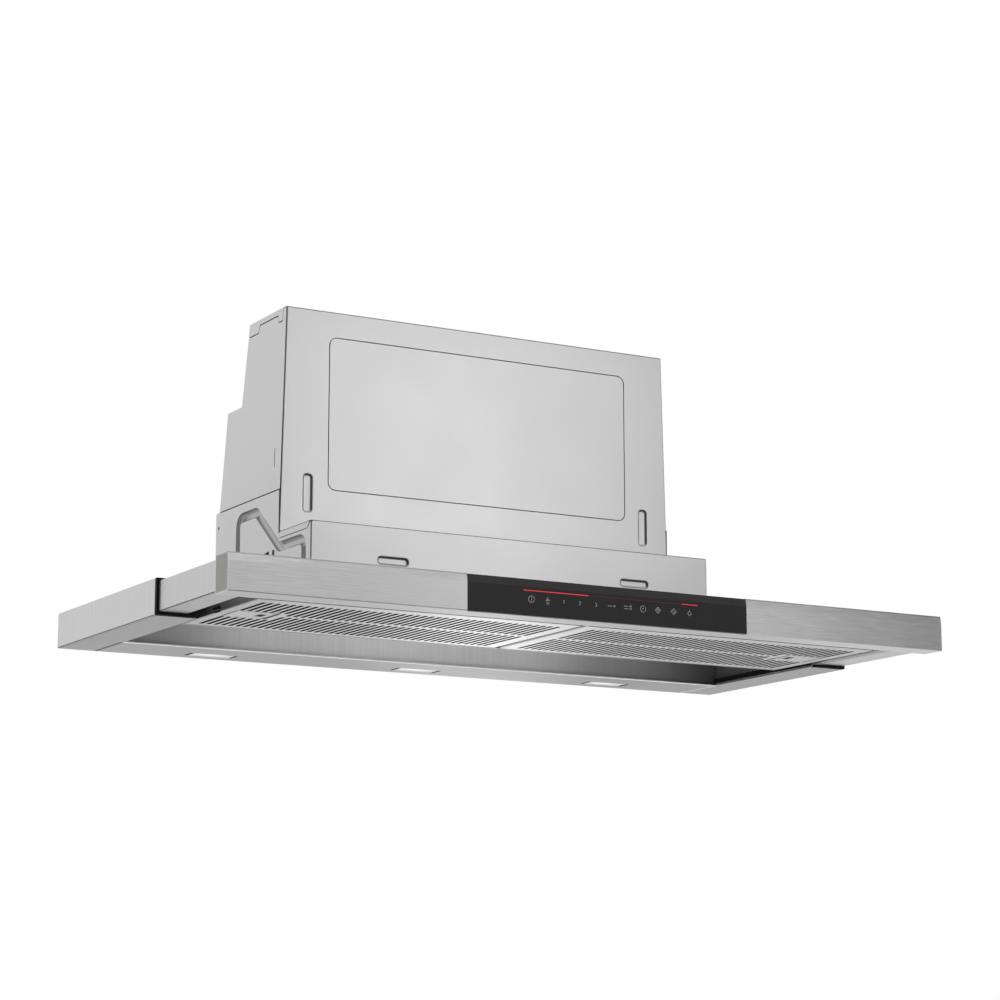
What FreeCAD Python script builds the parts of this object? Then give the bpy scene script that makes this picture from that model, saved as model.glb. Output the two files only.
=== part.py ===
"""Built-in range hood with a pull-out visor, drawn pulled out.

A low base pan hangs under a wall cabinet and the fan housing stands on it, inside the cabinet.
The visor slides out of the pan on two ball rails. It carries the front strip with the touch glass
and a tray with two grease filters, which swing down about pins at the middle of the tray.

Millimetres. X runs to the right, the front faces -Y and Z points up. The origin is the middle of
the underside of the pulled-out hood. Depths are given as distances in front of the hood's back.
"""
import FreeCAD, Part
import math
import os

V = FreeCAD.Vector

# Overall width, and the base pan
strip_width = 898.0
strip_overhang = 0.5
base_height = 40.0
base_depth = 290.0
sheet = 1.0
side_frame_width = 47.5
edge_seam = 0.7
lamp_strip_depth = 80.0
lamp_strip_hem = 2.4
hem_fold = 4.0
recess_lip = 7.0
recess_ledge = 10.0
recess_wall_setback = 12.0
guide_strip_height = 4.0
guide_strip_inset = 1.0
guide_strip_lift = 4.0
wing_gap = 1.5
intake_side_margin = 21.0
intake_depth = 36.0

# Slide of the visor
slide_travel = 151.5
closed_gap = 3.5
bezel_depth = 5.0
bezel_leg = 2.0
bezel_gap = 0.5
bezel_reach = 43.5
bezel_lift = 0.2

# Front strip and touch glass
strip_depth = 32.0
strip_wall = 1.2
strip_lip = 12.0
bevel_height = 8.7
bevel_depth = 1.4
end_cap_thickness = 2.0
glass_width = 353.0
glass_thickness = 3.0
glass_gap = 0.2
glass_setback = 0.2
glass_edge_gap = 0.4
board_width = 240.0
board_height = 24.0
board_thickness = 1.6
board_post_length = 5.0
board_post_radius = 3.0
board_post_spacing = 220.0

# Visor frame and tray
visor_bottom = 3.6
visor_top_gap = 3.4
front_bar_depth = 17.0
side_box_width = 24.0
side_box_lip = 8.0
side_lip_hem = 3.4
side_box_rear_gap = 18.5
tray_gap = 19.0
tray_bottom = 3.0
tray_top_gap = 4.0
tray_rear_gap = 1.5
tray_rear_lip = 5.8
tray_boss_height = 9.0
tray_boss_width = 8.0

# Grease filters
filter_thickness = 9.0
filter_sheet = 0.5
filter_gap = 4.0
filter_side_gap = 0.6
filter_middle_gap = 2.0
filter_rear_gap = 1.0
filter_top_lip = 5.0
slot_width = 4.8
slot_pitch = 8.6
slot_side_margin = 15.0
slot_inner_margin = 14.5
slot_rear_margin = 8.5
slot_front_margin = 18.5
slot_middle_from_rear = 97.5
slot_middle_width = 7.0
pivot_pin_radius = 2.0
pivot_pin_reach = 2.5
pivot_pin_bite = 2.0
pivot_clearance = 0.08
mesh_layers = 4
mesh_layer_thickness = 0.5
mesh_floor_gap = 2.0

# Filter latches
latch_travel = 5.0
latch_from_rear = 93.5
latch_length = 44.0
latch_width = 40.0
latch_edge = 13.4
latch_gap = 0.5
latch_end_gap = 2.0
latch_skin = 0.9
latch_wing = 3.0
latch_wing_thickness = 1.2
latch_body_height = 6.0
latch_body_width = 18.0
latch_tongue_width = 14.0
latch_tongue_thickness = 3.0
latch_tongue_reach = 4.1
latch_tongue_lift = 2.0
latch_pocket_length = 9.0
latch_pocket_from_end = 5.0

# Ball rails
rail_thickness = 8.5
rail_height = 24.0
rail_bottom = 9.0
rail_sheet = 1.2
rail_clear = 1.0
rail_inner_height = 13.0
rail_inner_depth = 6.5
ball_radius = 2.0
ball_clearance = 0.15
cage_sheet = 0.8
cage_length = 90.0
cage_clear = 0.2
balls_per_row = 5

# Lamps
lamp_count = 3
lamp_from_end = 131.0
lamp_length = 60.0
lamp_width = 22.0
lamp_from_back = 29.0
lens_thickness = 2.0
lens_rim = 3.0
lamp_module_height = 12.0

# Fan housing
housing_width = 522.0
housing_top_width = 510.0
housing_top = 387.0
housing_rear = 15.0
shelf_front = 277.5
shelf_height = 122.5
body_front = 192.5
seam_height = 172.0
panel_gap = 0.3
shelf_flange = 8.0
shelf_flange_slope = 10.0
rear_at_seam = 22.5
rear_below_step = 35.0
rear_above_step = 75.0
rear_at_top = 90.0
step_height = 290.0
tower_width = 230.0
tower_rear = 16.0
top_tab = 14.0
top_flange = 5.3
rear_tab_length = 28.0
front_tab_length = 9.0
front_tab_from_front = 11.0
tab_slope = 3.0

# Pressed features of the housing
press_depth = 1.5
press_round = 10.0
press_groove = 3.0
press_rect_width = 401.0
press_rect_bottom = 176.0
press_rect_top = 357.0
post_slot_x = 225.0
post_slot_bottom = 148.0
post_slot_length = 45.0
post_slot_width = 12.0
front_slot_x = 159.0
front_slot_height = 84.0
front_slot_length = 39.0
front_slot_width = 9.0
bead_width = 10.0
bead_depth = 3.0
bead_foot = 52.0
bead_rear = 80.0
bead_shoulder = 145.0
bead_high = 156.0
bead_high_rear = 92.0
bead_high_front = 130.0
bead_low = 106.0
bead_low_rear = 193.0
bead_low_front = 250.0
bead_front = 259.0
bead_front_shoulder = 98.0
tool_hole_radius = 2.0
tool_hole_from_back = 23.6
tool_hole_height = 153.0
hook_slot_from_back = 180.0
hook_slot_width = 5.0
hook_slot_bottom = 86.0
hook_slot_top = 106.0
hook_wedge_length = 16.0
hook_wedge_top = 99.0
cabinet_hole_radius = 2.6
cabinet_hole_height = 62.0
cabinet_hole_rear = 110.0
cabinet_hole_front = 230.0

# Fan, motor and outlet
fan_from_back = 106.0
fan_height = 215.0
wheel_radius = 60.0
wheel_half_width = 52.0
blade_count = 28
blade_depth = 11.0
blade_sheet = 1.2
blade_lean = 28.0
hub_radius = 9.0
hub_half_width = 6.0
shaft_radius = 4.0
shaft_clearance = 0.05
scroll_start_gap = 6.0
scroll_growth = 6.0
scroll_half_width = 58.0
scroll_wall = 1.5
scroll_top = 330.0
scroll_outlet_front = 170.0
inlet_radius = 47.0
motor_radius = 34.0
motor_length = 44.0
motor_hub_radius = 22.0
motor_hub_bore = 8.0
motor_seat = 5.0
spider_arm_width = 8.0
spider_arms = 3
capacitor_radius = 15.0
capacitor_length = 52.0
power_box_length = 120.0
power_box_depth = 90.0
power_box_height = 34.0
outlet_radius = 75.0
outlet_from_back = 104.0
outlet_ring_wall = 2.8
outlet_ring_top = 390.0
outlet_ring_length = 20.0
outlet_flange = 8.0
outlet_flange_thickness = 1.5
adapter_wall = 2.5
adapter_step = 1.0
adapter_plate_margin = 9.0
flap_thickness = 1.5
flap_edge_gap = 1.5
flap_seat_width = 4.0
flap_seat_thickness = 2.0
flap_seat_height = 352.0
flap_knuckle_radius = 4.0
flap_knuckle_length = 16.0
flap_knuckle_gap = 1.0
flap_half_gap = 0.6
flap_pin_radius = 2.0
flap_pin_clearance = 0.08
gland_radius = 9.0
gland_bore = 4.1
gland_collar = 12.0
gland_collar_length = 4.0
gland_length = 13.0
gland_x = 200.0
gland_height = 110.0

# Screws
screw_radius = 2.0
screw_head_radius = 4.0
screw_head_height = 2.0
screw_length = 8.0
screw_hole_gap = 0.1

# Places worked out from the sizes above
strip_half = strip_width / 2
base_half = strip_half - strip_overhang
base_inner = base_half - sheet
top_plate_bottom = base_height - sheet
opening_half = base_half - side_frame_width
recess_half = opening_half + recess_ledge
recess_wall = lamp_strip_depth - recess_lip
bezel_front = base_depth + bezel_depth
strip_back = bezel_front + closed_gap + slide_travel
strip_front = strip_back + strip_depth
back_y = strip_front / 2
visor_half = base_half - bezel_leg - bezel_gap
visor_top = base_height - visor_top_gap
bar_back = strip_back - front_bar_depth
side_web = visor_half - side_box_width
side_rear = side_box_rear_gap + slide_travel
tray_half = recess_half - tray_gap
tray_rear = recess_wall + tray_rear_gap + slide_travel
tray_top = base_height - tray_top_gap
filter_rear = lamp_strip_depth + filter_rear_gap + slide_travel
filter_front = bar_back - filter_gap
filter_inner = filter_middle_gap / 2
filter_outer = tray_half - sheet - filter_side_gap
filter_bottom = tray_bottom
filter_top = filter_bottom + filter_thickness
pivot_x = filter_inner + filter_thickness / 2
pivot_z = filter_bottom + filter_thickness / 2
latch_middle = filter_rear + latch_from_rear
latch_outer = filter_outer - latch_edge
recess_front = bar_back - slide_travel - recess_wall_setback / 6
rail_back = recess_half + sheet
rail_rear = recess_wall + sheet
rail_front = recess_front - rail_clear
inner_rail_rear = side_rear + 2 * rail_clear
inner_rail_front = bar_back - 2 * rail_clear
housing_half = housing_width / 2
housing_inner = housing_half - sheet
intake_half = housing_half - intake_side_margin
wing_inner = housing_half + wing_gap
tower_half = tower_width / 2


def y_at(distance):
    """Y of a point that lies this far in front of the hood's back."""
    return back_y - distance


def box(x0, x1, d0, d1, z0, z1):
    """Block from x0 to x1, from d0 to d1 in front of the back, and from z0 to z1."""
    return Part.makeBox(x1 - x0, d1 - d0, z1 - z0, V(x0, y_at(d1), z0))


def polygon_face(points):
    """Flat face with straight edges through the points."""
    return Part.Face(Part.makePolygon(points + points[:1]))


def prism_x(outline, x0, x1):
    """Outline of (distance, height) points drawn along X."""
    face = polygon_face([V(x0, y_at(d), z) for d, z in outline])
    return face.extrude(V(x1 - x0, 0, 0))


def prism_y(outline, d0, d1):
    """Outline of (x, height) points drawn along the depth."""
    face = polygon_face([V(x, y_at(d0), z) for x, z in outline])
    return face.extrude(V(0, d0 - d1, 0))


def rod_x(radius, x0, x1, d, z):
    """Round bar along X."""
    return Part.makeCylinder(radius, x1 - x0, V(x0, y_at(d), z), V(1, 0, 0))


def rod_y(radius, d0, d1, x, z):
    """Round bar along the depth."""
    return Part.makeCylinder(radius, d1 - d0, V(x, y_at(d1), z), V(0, 1, 0))


def rod_z(radius, z0, z1, x, d):
    """Upright round bar."""
    return Part.makeCylinder(radius, z1 - z0, V(x, y_at(d), z0))


def obround(center, along, across, length, width):
    """Flat face of a slot with round ends."""
    radius = width / 2
    reach = along * (length / 2 - radius)
    side = across * radius
    tip = along * (length / 2)
    corners = [center + reach + side, center - reach + side, center - reach - side, center + reach - side]
    edges = [
        Part.makeLine(corners[0], corners[1]),
        Part.Arc(corners[1], center - tip, corners[2]).toShape(),
        Part.makeLine(corners[2], corners[3]),
        Part.Arc(corners[3], center + tip, corners[0]).toShape(),
    ]
    return Part.Face(Part.Wire(edges))


def rounded_rectangle(x0, x1, z0, z1, radius, d):
    """Upright flat face with round corners, at one distance from the back."""
    y = y_at(d)
    bend = radius * (1 - math.sqrt(0.5))
    edges = [
        Part.makeLine(V(x0 + radius, y, z0), V(x1 - radius, y, z0)),
        Part.Arc(V(x1 - radius, y, z0), V(x1 - bend, y, z0 + bend), V(x1, y, z0 + radius)).toShape(),
        Part.makeLine(V(x1, y, z0 + radius), V(x1, y, z1 - radius)),
        Part.Arc(V(x1, y, z1 - radius), V(x1 - bend, y, z1 - bend), V(x1 - radius, y, z1)).toShape(),
        Part.makeLine(V(x1 - radius, y, z1), V(x0 + radius, y, z1)),
        Part.Arc(V(x0 + radius, y, z1), V(x0 + bend, y, z1 - bend), V(x0, y, z1 - radius)).toShape(),
        Part.makeLine(V(x0, y, z1 - radius), V(x0, y, z0 + radius)),
        Part.Arc(V(x0, y, z0 + radius), V(x0 + bend, y, z0 + bend), V(x0 + radius, y, z0)).toShape(),
    ]
    return Part.Face(Part.Wire(edges))


def mirrored(shape):
    """The same piece on the other side of the hood."""
    return shape.mirror(V(0, 0, 0), V(1, 0, 0))


def lean_half(z):
    """Half width of the fan housing at a height: its sides lean in towards the top."""
    rise = (z - shelf_height) / (housing_top - shelf_height)
    return housing_half + (housing_top_width / 2 - housing_half) * rise


def leaning_plate(outline):
    """Right-hand sheet in the plane of the housing's leaning side."""
    face = polygon_face([V(lean_half(z), y_at(d), z) for d, z in outline])
    return face.extrude(V(-sheet, 0, 0))


def screw(place, into):
    """Pan-head screw: its head sits on the surface at place and its shank goes along into."""
    head = Part.makeCylinder(screw_head_radius, screw_head_height, place, -into)
    shank = Part.makeCylinder(screw_radius, screw_length, place, into)
    return head.fuse(shank)


def screw_hole(place, into, depth):
    """Clearance hole for a screw, through sheet of this depth."""
    start = place - into
    return Part.makeCylinder(screw_radius + screw_hole_gap, depth + 2, start, into)


parts = {}


def add_pair(name, right_shape):
    """Keep a right-hand piece and its mirror image."""
    parts["right_" + name] = right_shape
    parts["left_" + name] = mirrored(right_shape)


# Base pan: cheeks, rear panel, top plate, underside frame
def make_base():
    cheek = box(base_inner, base_half, 0, base_depth, 0, base_height)
    wing = box(wing_inner, base_inner, sheet, base_depth, top_plate_bottom, base_height)
    add_pair("side_panel", cheek.fuse(wing).removeSplitter())
    parts["base_rear_panel"] = box(-base_inner, base_inner, 0, sheet, 0, base_height)
    top = box(-wing_inner, wing_inner, sheet, base_depth, top_plate_bottom, base_height)
    intake_front = shelf_front - 2 * sheet
    intake = box(-intake_half, intake_half, intake_front - intake_depth, intake_front,
                 top_plate_bottom - sheet, base_height + sheet)
    parts["base_top_plate"] = top.cut(intake)
    flange = box(opening_half, base_inner - edge_seam, sheet, base_depth, 0, sheet)
    add_pair("bottom_frame", flange)


def make_lamp_strip():
    radius = lamp_strip_hem / 2
    nose = lamp_strip_depth - radius
    fold = lamp_strip_depth - hem_fold
    half = opening_half - panel_gap
    x = -half
    points = [V(x, y_at(sheet), 0), V(x, y_at(nose), 0), V(x, y_at(nose), lamp_strip_hem),
              V(x, y_at(fold), lamp_strip_hem), V(x, y_at(fold), sheet), V(x, y_at(sheet), sheet)]
    edges = [Part.makeLine(points[0], points[1]),
             Part.Arc(points[1], V(x, y_at(lamp_strip_depth), radius), points[2]).toShape()]
    for start, end in zip(points[2:], points[3:] + points[:1]):
        edges.append(Part.makeLine(start, end))
    strip = Part.Face(Part.Wire(edges)).extrude(V(2 * half, 0, 0))
    modules = []
    names = ["left_lamp_lens", "center_lamp_lens", "right_lamp_lens"]
    for index in range(lamp_count):
        x = (opening_half - lamp_from_end) * (2 * index / (lamp_count - 1) - 1)
        rear = lamp_from_back - lamp_width / 2
        front = lamp_from_back + lamp_width / 2
        strip = strip.cut(box(x - lamp_length / 2, x + lamp_length / 2, rear, front, -sheet, 2 * sheet))
        x0 = x - lamp_length / 2 - lens_rim
        x1 = x + lamp_length / 2 + lens_rim
        lens_top = sheet + lens_thickness
        parts[names[index]] = box(x0, x1, rear - lens_rim, front + lens_rim, sheet, lens_top)
        shell = box(x0, x1, rear - lens_rim, front + lens_rim, lens_top, lens_top + lamp_module_height)
        hollow = box(x0 + sheet, x1 - sheet, rear - lens_rim + sheet, front + lens_rim - sheet,
                     lens_top - sheet, lens_top + lamp_module_height - sheet)
        board = box(x0 + sheet, x1 - sheet, rear, front, lens_top + lamp_module_height - 2 * sheet,
                    lens_top + lamp_module_height - sheet)
        modules.append(shell.cut(hollow).fuse(board))
    parts["lamp_strip"] = strip
    parts["lamp_modules"] = Part.makeCompound(modules)


def make_recess():
    half = recess_half + sheet
    parts["recess_rear_wall"] = box(-half, half, recess_wall - sheet, recess_wall, sheet, top_plate_bottom)
    wall = box(recess_half, half, recess_wall, recess_front, sheet, top_plate_bottom)
    add_pair("recess_wall", wall)
    guide_bottom = sheet + guide_strip_lift
    guide = box(opening_half + guide_strip_inset, recess_half, lamp_strip_depth + sheet, recess_front,
                guide_bottom, guide_bottom + guide_strip_height)
    parts["guide_strips"] = Part.makeCompound([guide, mirrored(guide)])


def make_bezels():
    low = box(base_half - bezel_reach, base_half, base_depth, bezel_front, bezel_lift, visor_bottom - bezel_gap)
    high = box(base_half - bezel_reach, base_half, base_depth, bezel_front, visor_top + bezel_gap, base_height)
    upright = box(base_half - bezel_leg, base_half, base_depth, bezel_front, bezel_lift, base_height)
    bezel = low.fuse([high, upright]).removeSplitter()
    parts["edge_bezels"] = Part.makeCompound([bezel, mirrored(bezel)])


# Visor: strip, glass, frame and tray
def strip_outline(inset):
    """Section of the front strip as (distance, height) points, drawn in by a wall thickness."""
    slope = bevel_depth / bevel_height
    top = base_height - inset
    front_top = strip_front - bevel_depth - inset + slope * inset
    return [(strip_back, inset), (strip_front - inset, inset),
            (strip_front - inset, base_height - bevel_height), (front_top, top), (strip_back, top)]


def make_strip():
    half = strip_half
    shell = prism_x(strip_outline(0), -half, half)
    hollow = prism_x(strip_outline(strip_wall), -half - 1, half + 1)
    lips_gap = box(-half - 1, half + 1, strip_back - 1, strip_back + strip_wall, strip_lip, base_height - strip_lip)
    lips = box(-half, half, strip_back, strip_back + strip_wall, strip_wall, base_height - strip_wall)
    body = shell.cut(hollow).fuse(lips).cut(lips_gap)
    glass_front = strip_front - glass_setback
    seat = glass_front - glass_thickness
    glass_half = glass_width / 2
    body = body.cut(box(-glass_half, glass_half, seat, strip_front + 1, -1, base_height + 1))
    backing = box(-glass_half - strip_wall, glass_half + strip_wall, seat - strip_wall, seat,
                  strip_wall, base_height - strip_wall)
    body = body.fuse(backing).removeSplitter()
    plug = strip_outline(strip_wall)
    plug[0] = (strip_back + strip_wall, strip_wall)
    plug[-1] = (strip_back + strip_wall, base_height - strip_wall)
    add_pair("end_cap", prism_x(plug, half - end_cap_thickness, half))
    low = glass_edge_gap
    high = base_height - glass_edge_gap
    bevel_foot = base_height - bevel_height
    pane = [(seat, low), (glass_front, low), (glass_front, bevel_foot),
            (glass_front - bevel_depth, high), (seat, high)]
    parts["control_glass"] = prism_x(pane, -glass_half + glass_gap, glass_half - glass_gap)
    board_front = seat - strip_wall - board_post_length
    middle = base_height / 2
    board = box(-board_width / 2, board_width / 2, board_front - board_thickness, board_front,
                middle - board_height / 2, middle + board_height / 2)
    for side in (-1, 1):
        x = side * board_post_spacing / 2
        board = board.fuse(rod_y(board_post_radius, board_front, board_front + board_post_length, x, middle))
    parts["control_board"] = board
    return body


def visor_screw_places():
    """Places of the screws that join the strip's lower lip to the front bar, head side."""
    count = 4
    spacing = 2 * tray_half / count
    height = visor_bottom + sheet + screw_head_radius + 1
    return [V((index - (count - 1) / 2) * spacing, y_at(strip_back - sheet), height) for index in range(count)]


def make_visor(strip):
    toward_front = V(0, -1, 0)
    bar_half = visor_half - sheet
    bar = box(-bar_half, bar_half, bar_back, strip_back, visor_bottom, visor_top)
    hollow = box(-visor_half, visor_half, bar_back + sheet, strip_back - sheet,
                 visor_bottom + sheet, visor_top - sheet)
    bar = bar.cut(hollow)
    screws = []
    for place in visor_screw_places():
        hole = screw_hole(place, toward_front, 2 * strip_wall + sheet)
        bar = bar.cut(hole)
        strip = strip.cut(hole)
        screws.append(screw(place, toward_front))
    for side in (-1, 1):
        bar = bar.cut(rod_y(pivot_pin_radius + pivot_clearance, bar_back - 1, bar_back + 2 * sheet,
                            side * pivot_x, pivot_z))
    parts["front_strip"] = strip
    parts["visor_front_bar"] = bar
    parts["visor_screws"] = Part.makeCompound(screws)
    outer = box(side_web, visor_half, side_rear, bar_back, visor_bottom, visor_top)
    core = box(side_web + sheet, visor_half - sheet, side_rear - 1, bar_back + 1,
               visor_bottom + sheet, visor_top - sheet)
    lip_edge = side_web - side_box_lip
    lip = box(lip_edge, side_web, side_rear, bar_back, visor_bottom, visor_bottom + sheet)
    hem = box(lip_edge, lip_edge + sheet, side_rear, bar_back, visor_bottom, visor_bottom + side_lip_hem)
    cheek = box(bar_half, visor_half, bar_back, strip_back, visor_bottom, visor_top)
    seam = box(bar_half - edge_seam, bar_half, side_rear - 1, bar_back + 1, visor_bottom - 1, visor_bottom + sheet)
    add_pair("visor_side", outer.cut(core).fuse([lip, hem, cheek]).cut(seam).removeSplitter())


def make_tray():
    cover = box(-tray_half, tray_half, tray_rear, bar_back, tray_top - sheet, tray_top)
    intake_rear = tray_rear + tray_rear_lip + sheet
    cover = cover.cut(box(-intake_half, intake_half, intake_rear, intake_rear + intake_depth,
                          tray_top - 2 * sheet, tray_top + sheet))
    parts["tray_cover"] = cover
    wall = box(tray_half - sheet, tray_half, tray_rear, bar_back, tray_bottom, tray_top - sheet)
    notch_half = latch_tongue_width / 2 + 2 * latch_gap
    notch_top = filter_bottom + latch_tongue_lift + latch_tongue_thickness + 2 * latch_gap
    notch = box(tray_half - 2 * sheet, tray_half + sheet, latch_middle - notch_half, latch_middle + notch_half,
                tray_bottom - 1, notch_top)
    add_pair("tray_wall", wall.cut(notch))
    reach = tray_half - sheet
    bar = box(-reach, reach, tray_rear, tray_rear + sheet, tray_bottom, tray_top - sheet)
    bar = bar.fuse(box(-reach, reach, tray_rear + sheet, tray_rear + tray_rear_lip, tray_bottom, tray_bottom + sheet))
    for side in (-1, 1):
        x = side * pivot_x
        boss = box(x - tray_boss_width / 2, x + tray_boss_width / 2, tray_rear + sheet,
                   tray_rear + tray_rear_lip, tray_bottom, tray_bottom + tray_boss_height)
        bar = bar.fuse(boss)
    for side in (-1, 1):
        bar = bar.cut(rod_y(pivot_pin_radius + pivot_clearance, tray_rear + sheet,
                            tray_rear + tray_rear_lip + 1, side * pivot_x, pivot_z))
    parts["tray_rear_bar"] = bar.removeSplitter()


# Grease filters with their latches
def cassette(inset):
    """Solid with the outer shape of a filter, drawn in by an inset; its inner end is half round."""
    radius = filter_thickness / 2 - inset
    y = y_at(filter_rear + inset)
    low = filter_bottom + inset
    high = filter_top - inset
    outer = filter_outer - inset
    edges = [
        Part.makeLine(V(pivot_x, y, low), V(outer, y, low)),
        Part.makeLine(V(outer, y, low), V(outer, y, high)),
        Part.makeLine(V(outer, y, high), V(pivot_x, y, high)),
        Part.Arc(V(pivot_x, y, high), V(pivot_x - radius, y, pivot_z), V(pivot_x, y, low)).toShape(),
    ]
    length = filter_front - filter_rear - 2 * inset
    return Part.Face(Part.Wire(edges)).extrude(V(0, -length, 0))


def filter_slots():
    """Air slots of one filter: two rows of narrow slots, cut short beside the latch."""
    first = pivot_x + slot_inner_margin
    last = filter_outer - slot_side_margin
    count = int((last - first) / slot_pitch) + 1
    start = last - (count - 1) * slot_pitch
    row_middle = filter_rear + slot_middle_from_rear
    latch_rear = latch_middle - latch_width / 2 - latch_gap - latch_wing
    latch_front = latch_middle + latch_width / 2 + latch_gap + latch_wing
    latch_inner = latch_outer - latch_length - latch_travel - 2 * latch_gap - slot_width
    slots = []
    for index in range(count):
        x = start + index * slot_pitch
        rear_end = row_middle - slot_middle_width / 2
        front_end = row_middle + slot_middle_width / 2
        if x > latch_inner:
            rear_end = min(rear_end, latch_rear)
            front_end = max(front_end, latch_front)
        for d0, d1 in ((filter_rear + slot_rear_margin, rear_end), (front_end, filter_front - slot_front_margin)):
            center = V(x, y_at((d0 + d1) / 2), filter_bottom - 1)
            slot = obround(center, V(0, 1, 0), V(1, 0, 0), d1 - d0, slot_width)
            slots.append(slot.extrude(V(0, 0, 2 + filter_sheet)))
    return slots


def make_filters():
    frame = cassette(0).cut(cassette(filter_sheet))
    opening = box(pivot_x + filter_top_lip, filter_outer - filter_top_lip, filter_rear + filter_top_lip,
                  filter_front - filter_top_lip, pivot_z, filter_top + 1)
    frame = frame.cut(opening)
    frame = frame.cut(Part.makeCompound(filter_slots()))
    window_inner = latch_outer - latch_length - latch_travel - latch_gap
    window = box(window_inner, latch_outer + latch_end_gap, latch_middle - latch_width / 2 - latch_gap,
                 latch_middle + latch_width / 2 + latch_gap, filter_bottom - 1, filter_bottom + 2 * filter_sheet)
    tongue_low = filter_bottom + latch_tongue_lift
    tongue_high = tongue_low + latch_tongue_thickness
    tongue_half = latch_tongue_width / 2
    port = box(filter_outer - 2 * filter_sheet, filter_outer + 1, latch_middle - tongue_half - latch_gap,
               latch_middle + tongue_half + latch_gap, tongue_low - latch_gap, tongue_high + latch_gap)
    frame = frame.cut(window).cut(port)
    stub = filter_thickness / 2
    front_pin = rod_y(pivot_pin_radius, filter_front - stub, bar_back + pivot_pin_bite, pivot_x, pivot_z)
    rear_pin = rod_y(pivot_pin_radius, filter_rear - pivot_pin_reach, filter_rear + stub, pivot_x, pivot_z)
    frame = frame.fuse([front_pin, rear_pin])
    add_pair("filter_frame", frame)

    wing_half = latch_width / 2 + latch_wing
    inside = filter_sheet
    pocket = box(window_inner - latch_gap, filter_outer, latch_middle - wing_half - latch_gap,
                 latch_middle + wing_half + latch_gap, filter_bottom, filter_top)
    mesh_low = filter_bottom + inside + mesh_floor_gap
    mesh_step = (filter_top - inside - mesh_layer_thickness - mesh_low) / (mesh_layers - 1)
    layers = []
    for index in range(mesh_layers):
        low = mesh_low + index * mesh_step
        layer = box(pivot_x + filter_thickness / 2, filter_outer - inside, filter_rear + inside,
                    filter_front - inside, low, low + mesh_layer_thickness)
        layers.append(layer.cut(pocket))
    add_pair("filter_mesh", Part.makeCompound(layers))

    latch_inner = latch_outer - latch_length
    grip = box(latch_inner, latch_outer, latch_middle - latch_width / 2, latch_middle + latch_width / 2,
               filter_bottom, filter_bottom + latch_skin)
    wing_low = filter_bottom + latch_skin
    tail = window_inner - latch_wing
    wings = box(tail, latch_outer - latch_gap, latch_middle - wing_half, latch_middle + wing_half,
                wing_low, wing_low + latch_wing_thickness)
    body = box(latch_inner, latch_outer, latch_middle - latch_body_width / 2, latch_middle + latch_body_width / 2,
               wing_low, filter_bottom + latch_body_height)
    tongue = box(latch_outer - latch_edge, filter_outer + latch_tongue_reach, latch_middle - tongue_half,
                 latch_middle + tongue_half, tongue_low, tongue_high)
    pocket_inner = latch_inner + latch_pocket_from_end
    grip_pocket = box(pocket_inner, pocket_inner + latch_pocket_length, latch_middle - latch_body_width / 2 + sheet,
                      latch_middle + latch_body_width / 2 - sheet, filter_bottom - 1,
                      filter_bottom + latch_body_height + 1)
    add_pair("filter_latch", grip.fuse([wings, body, tongue]).cut(grip_pocket).removeSplitter())


# Ball rails between the recess walls and the visor's side boxes
def make_rails():
    rail_top = rail_bottom + rail_height
    rail_face = rail_back + rail_thickness
    outer = box(rail_back, rail_face, rail_rear, rail_front, rail_bottom, rail_top)
    channel = box(rail_back + rail_sheet, rail_face + 1, rail_rear - 1, rail_front + 1,
                  rail_bottom + rail_sheet, rail_top - rail_sheet)
    outer = outer.cut(channel)
    parts["outer_rails"] = Part.makeCompound([outer, mirrored(outer)])
    middle = rail_bottom + rail_height / 2
    inner_low = middle - rail_inner_height / 2
    inner_high = middle + rail_inner_height / 2
    inner = box(side_web - rail_inner_depth, side_web, inner_rail_rear, inner_rail_front, inner_low, inner_high)
    groove = box(side_web - rail_inner_depth - 1, side_web - rail_sheet, inner_rail_rear - 1, inner_rail_front + 1,
                 inner_low + rail_sheet, inner_high - rail_sheet)
    inner = inner.cut(groove)
    parts["inner_rails"] = Part.makeCompound([inner, mirrored(inner)])

    shared_middle = (inner_rail_rear + rail_front) / 2
    cage_rear = shared_middle - cage_length / 2
    cage_front = shared_middle + cage_length / 2
    web_x = rail_back + rail_sheet + cage_clear
    row_x = side_web - rail_inner_depth / 2 - rail_sheet / 2
    row_gap = (rail_height - rail_inner_height) / 2 - rail_sheet
    ball_high = inner_high + row_gap / 2
    ball_low = inner_low - row_gap / 2
    radius = min(ball_radius, row_gap / 2 - ball_clearance)
    cage = box(web_x, web_x + cage_sheet, cage_rear, cage_front, ball_low - cage_sheet / 2, ball_high + cage_sheet / 2)
    for z in (ball_low, ball_high):
        shelf = box(web_x, row_x + radius + cage_sheet, cage_rear, cage_front, z - cage_sheet / 2, z + cage_sheet / 2)
        cage = cage.fuse(shelf)
    balls = []
    spacing = cage_length / balls_per_row
    for index in range(balls_per_row):
        d = cage_rear + (index + 0.5) * spacing
        for z in (ball_low, ball_high):
            cage = cage.cut(rod_z(radius + ball_clearance, z - cage_sheet, z + cage_sheet, row_x, d))
            balls.append(Part.makeSphere(radius, V(row_x, y_at(d), z)))
    group = [cage.removeSplitter()] + balls
    parts["ball_cages"] = Part.makeCompound(group + [mirrored(piece) for piece in group])


# Fan housing: panels round the fan
def pressed(panel, face, grown_face, into, depth):
    """Press a pocket of one outline into a sheet, with a wall of sheet round it."""
    pad = grown_face.extrude(into * (depth + sheet))
    return panel.fuse(pad).cut(face.extrude(into * depth))


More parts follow.
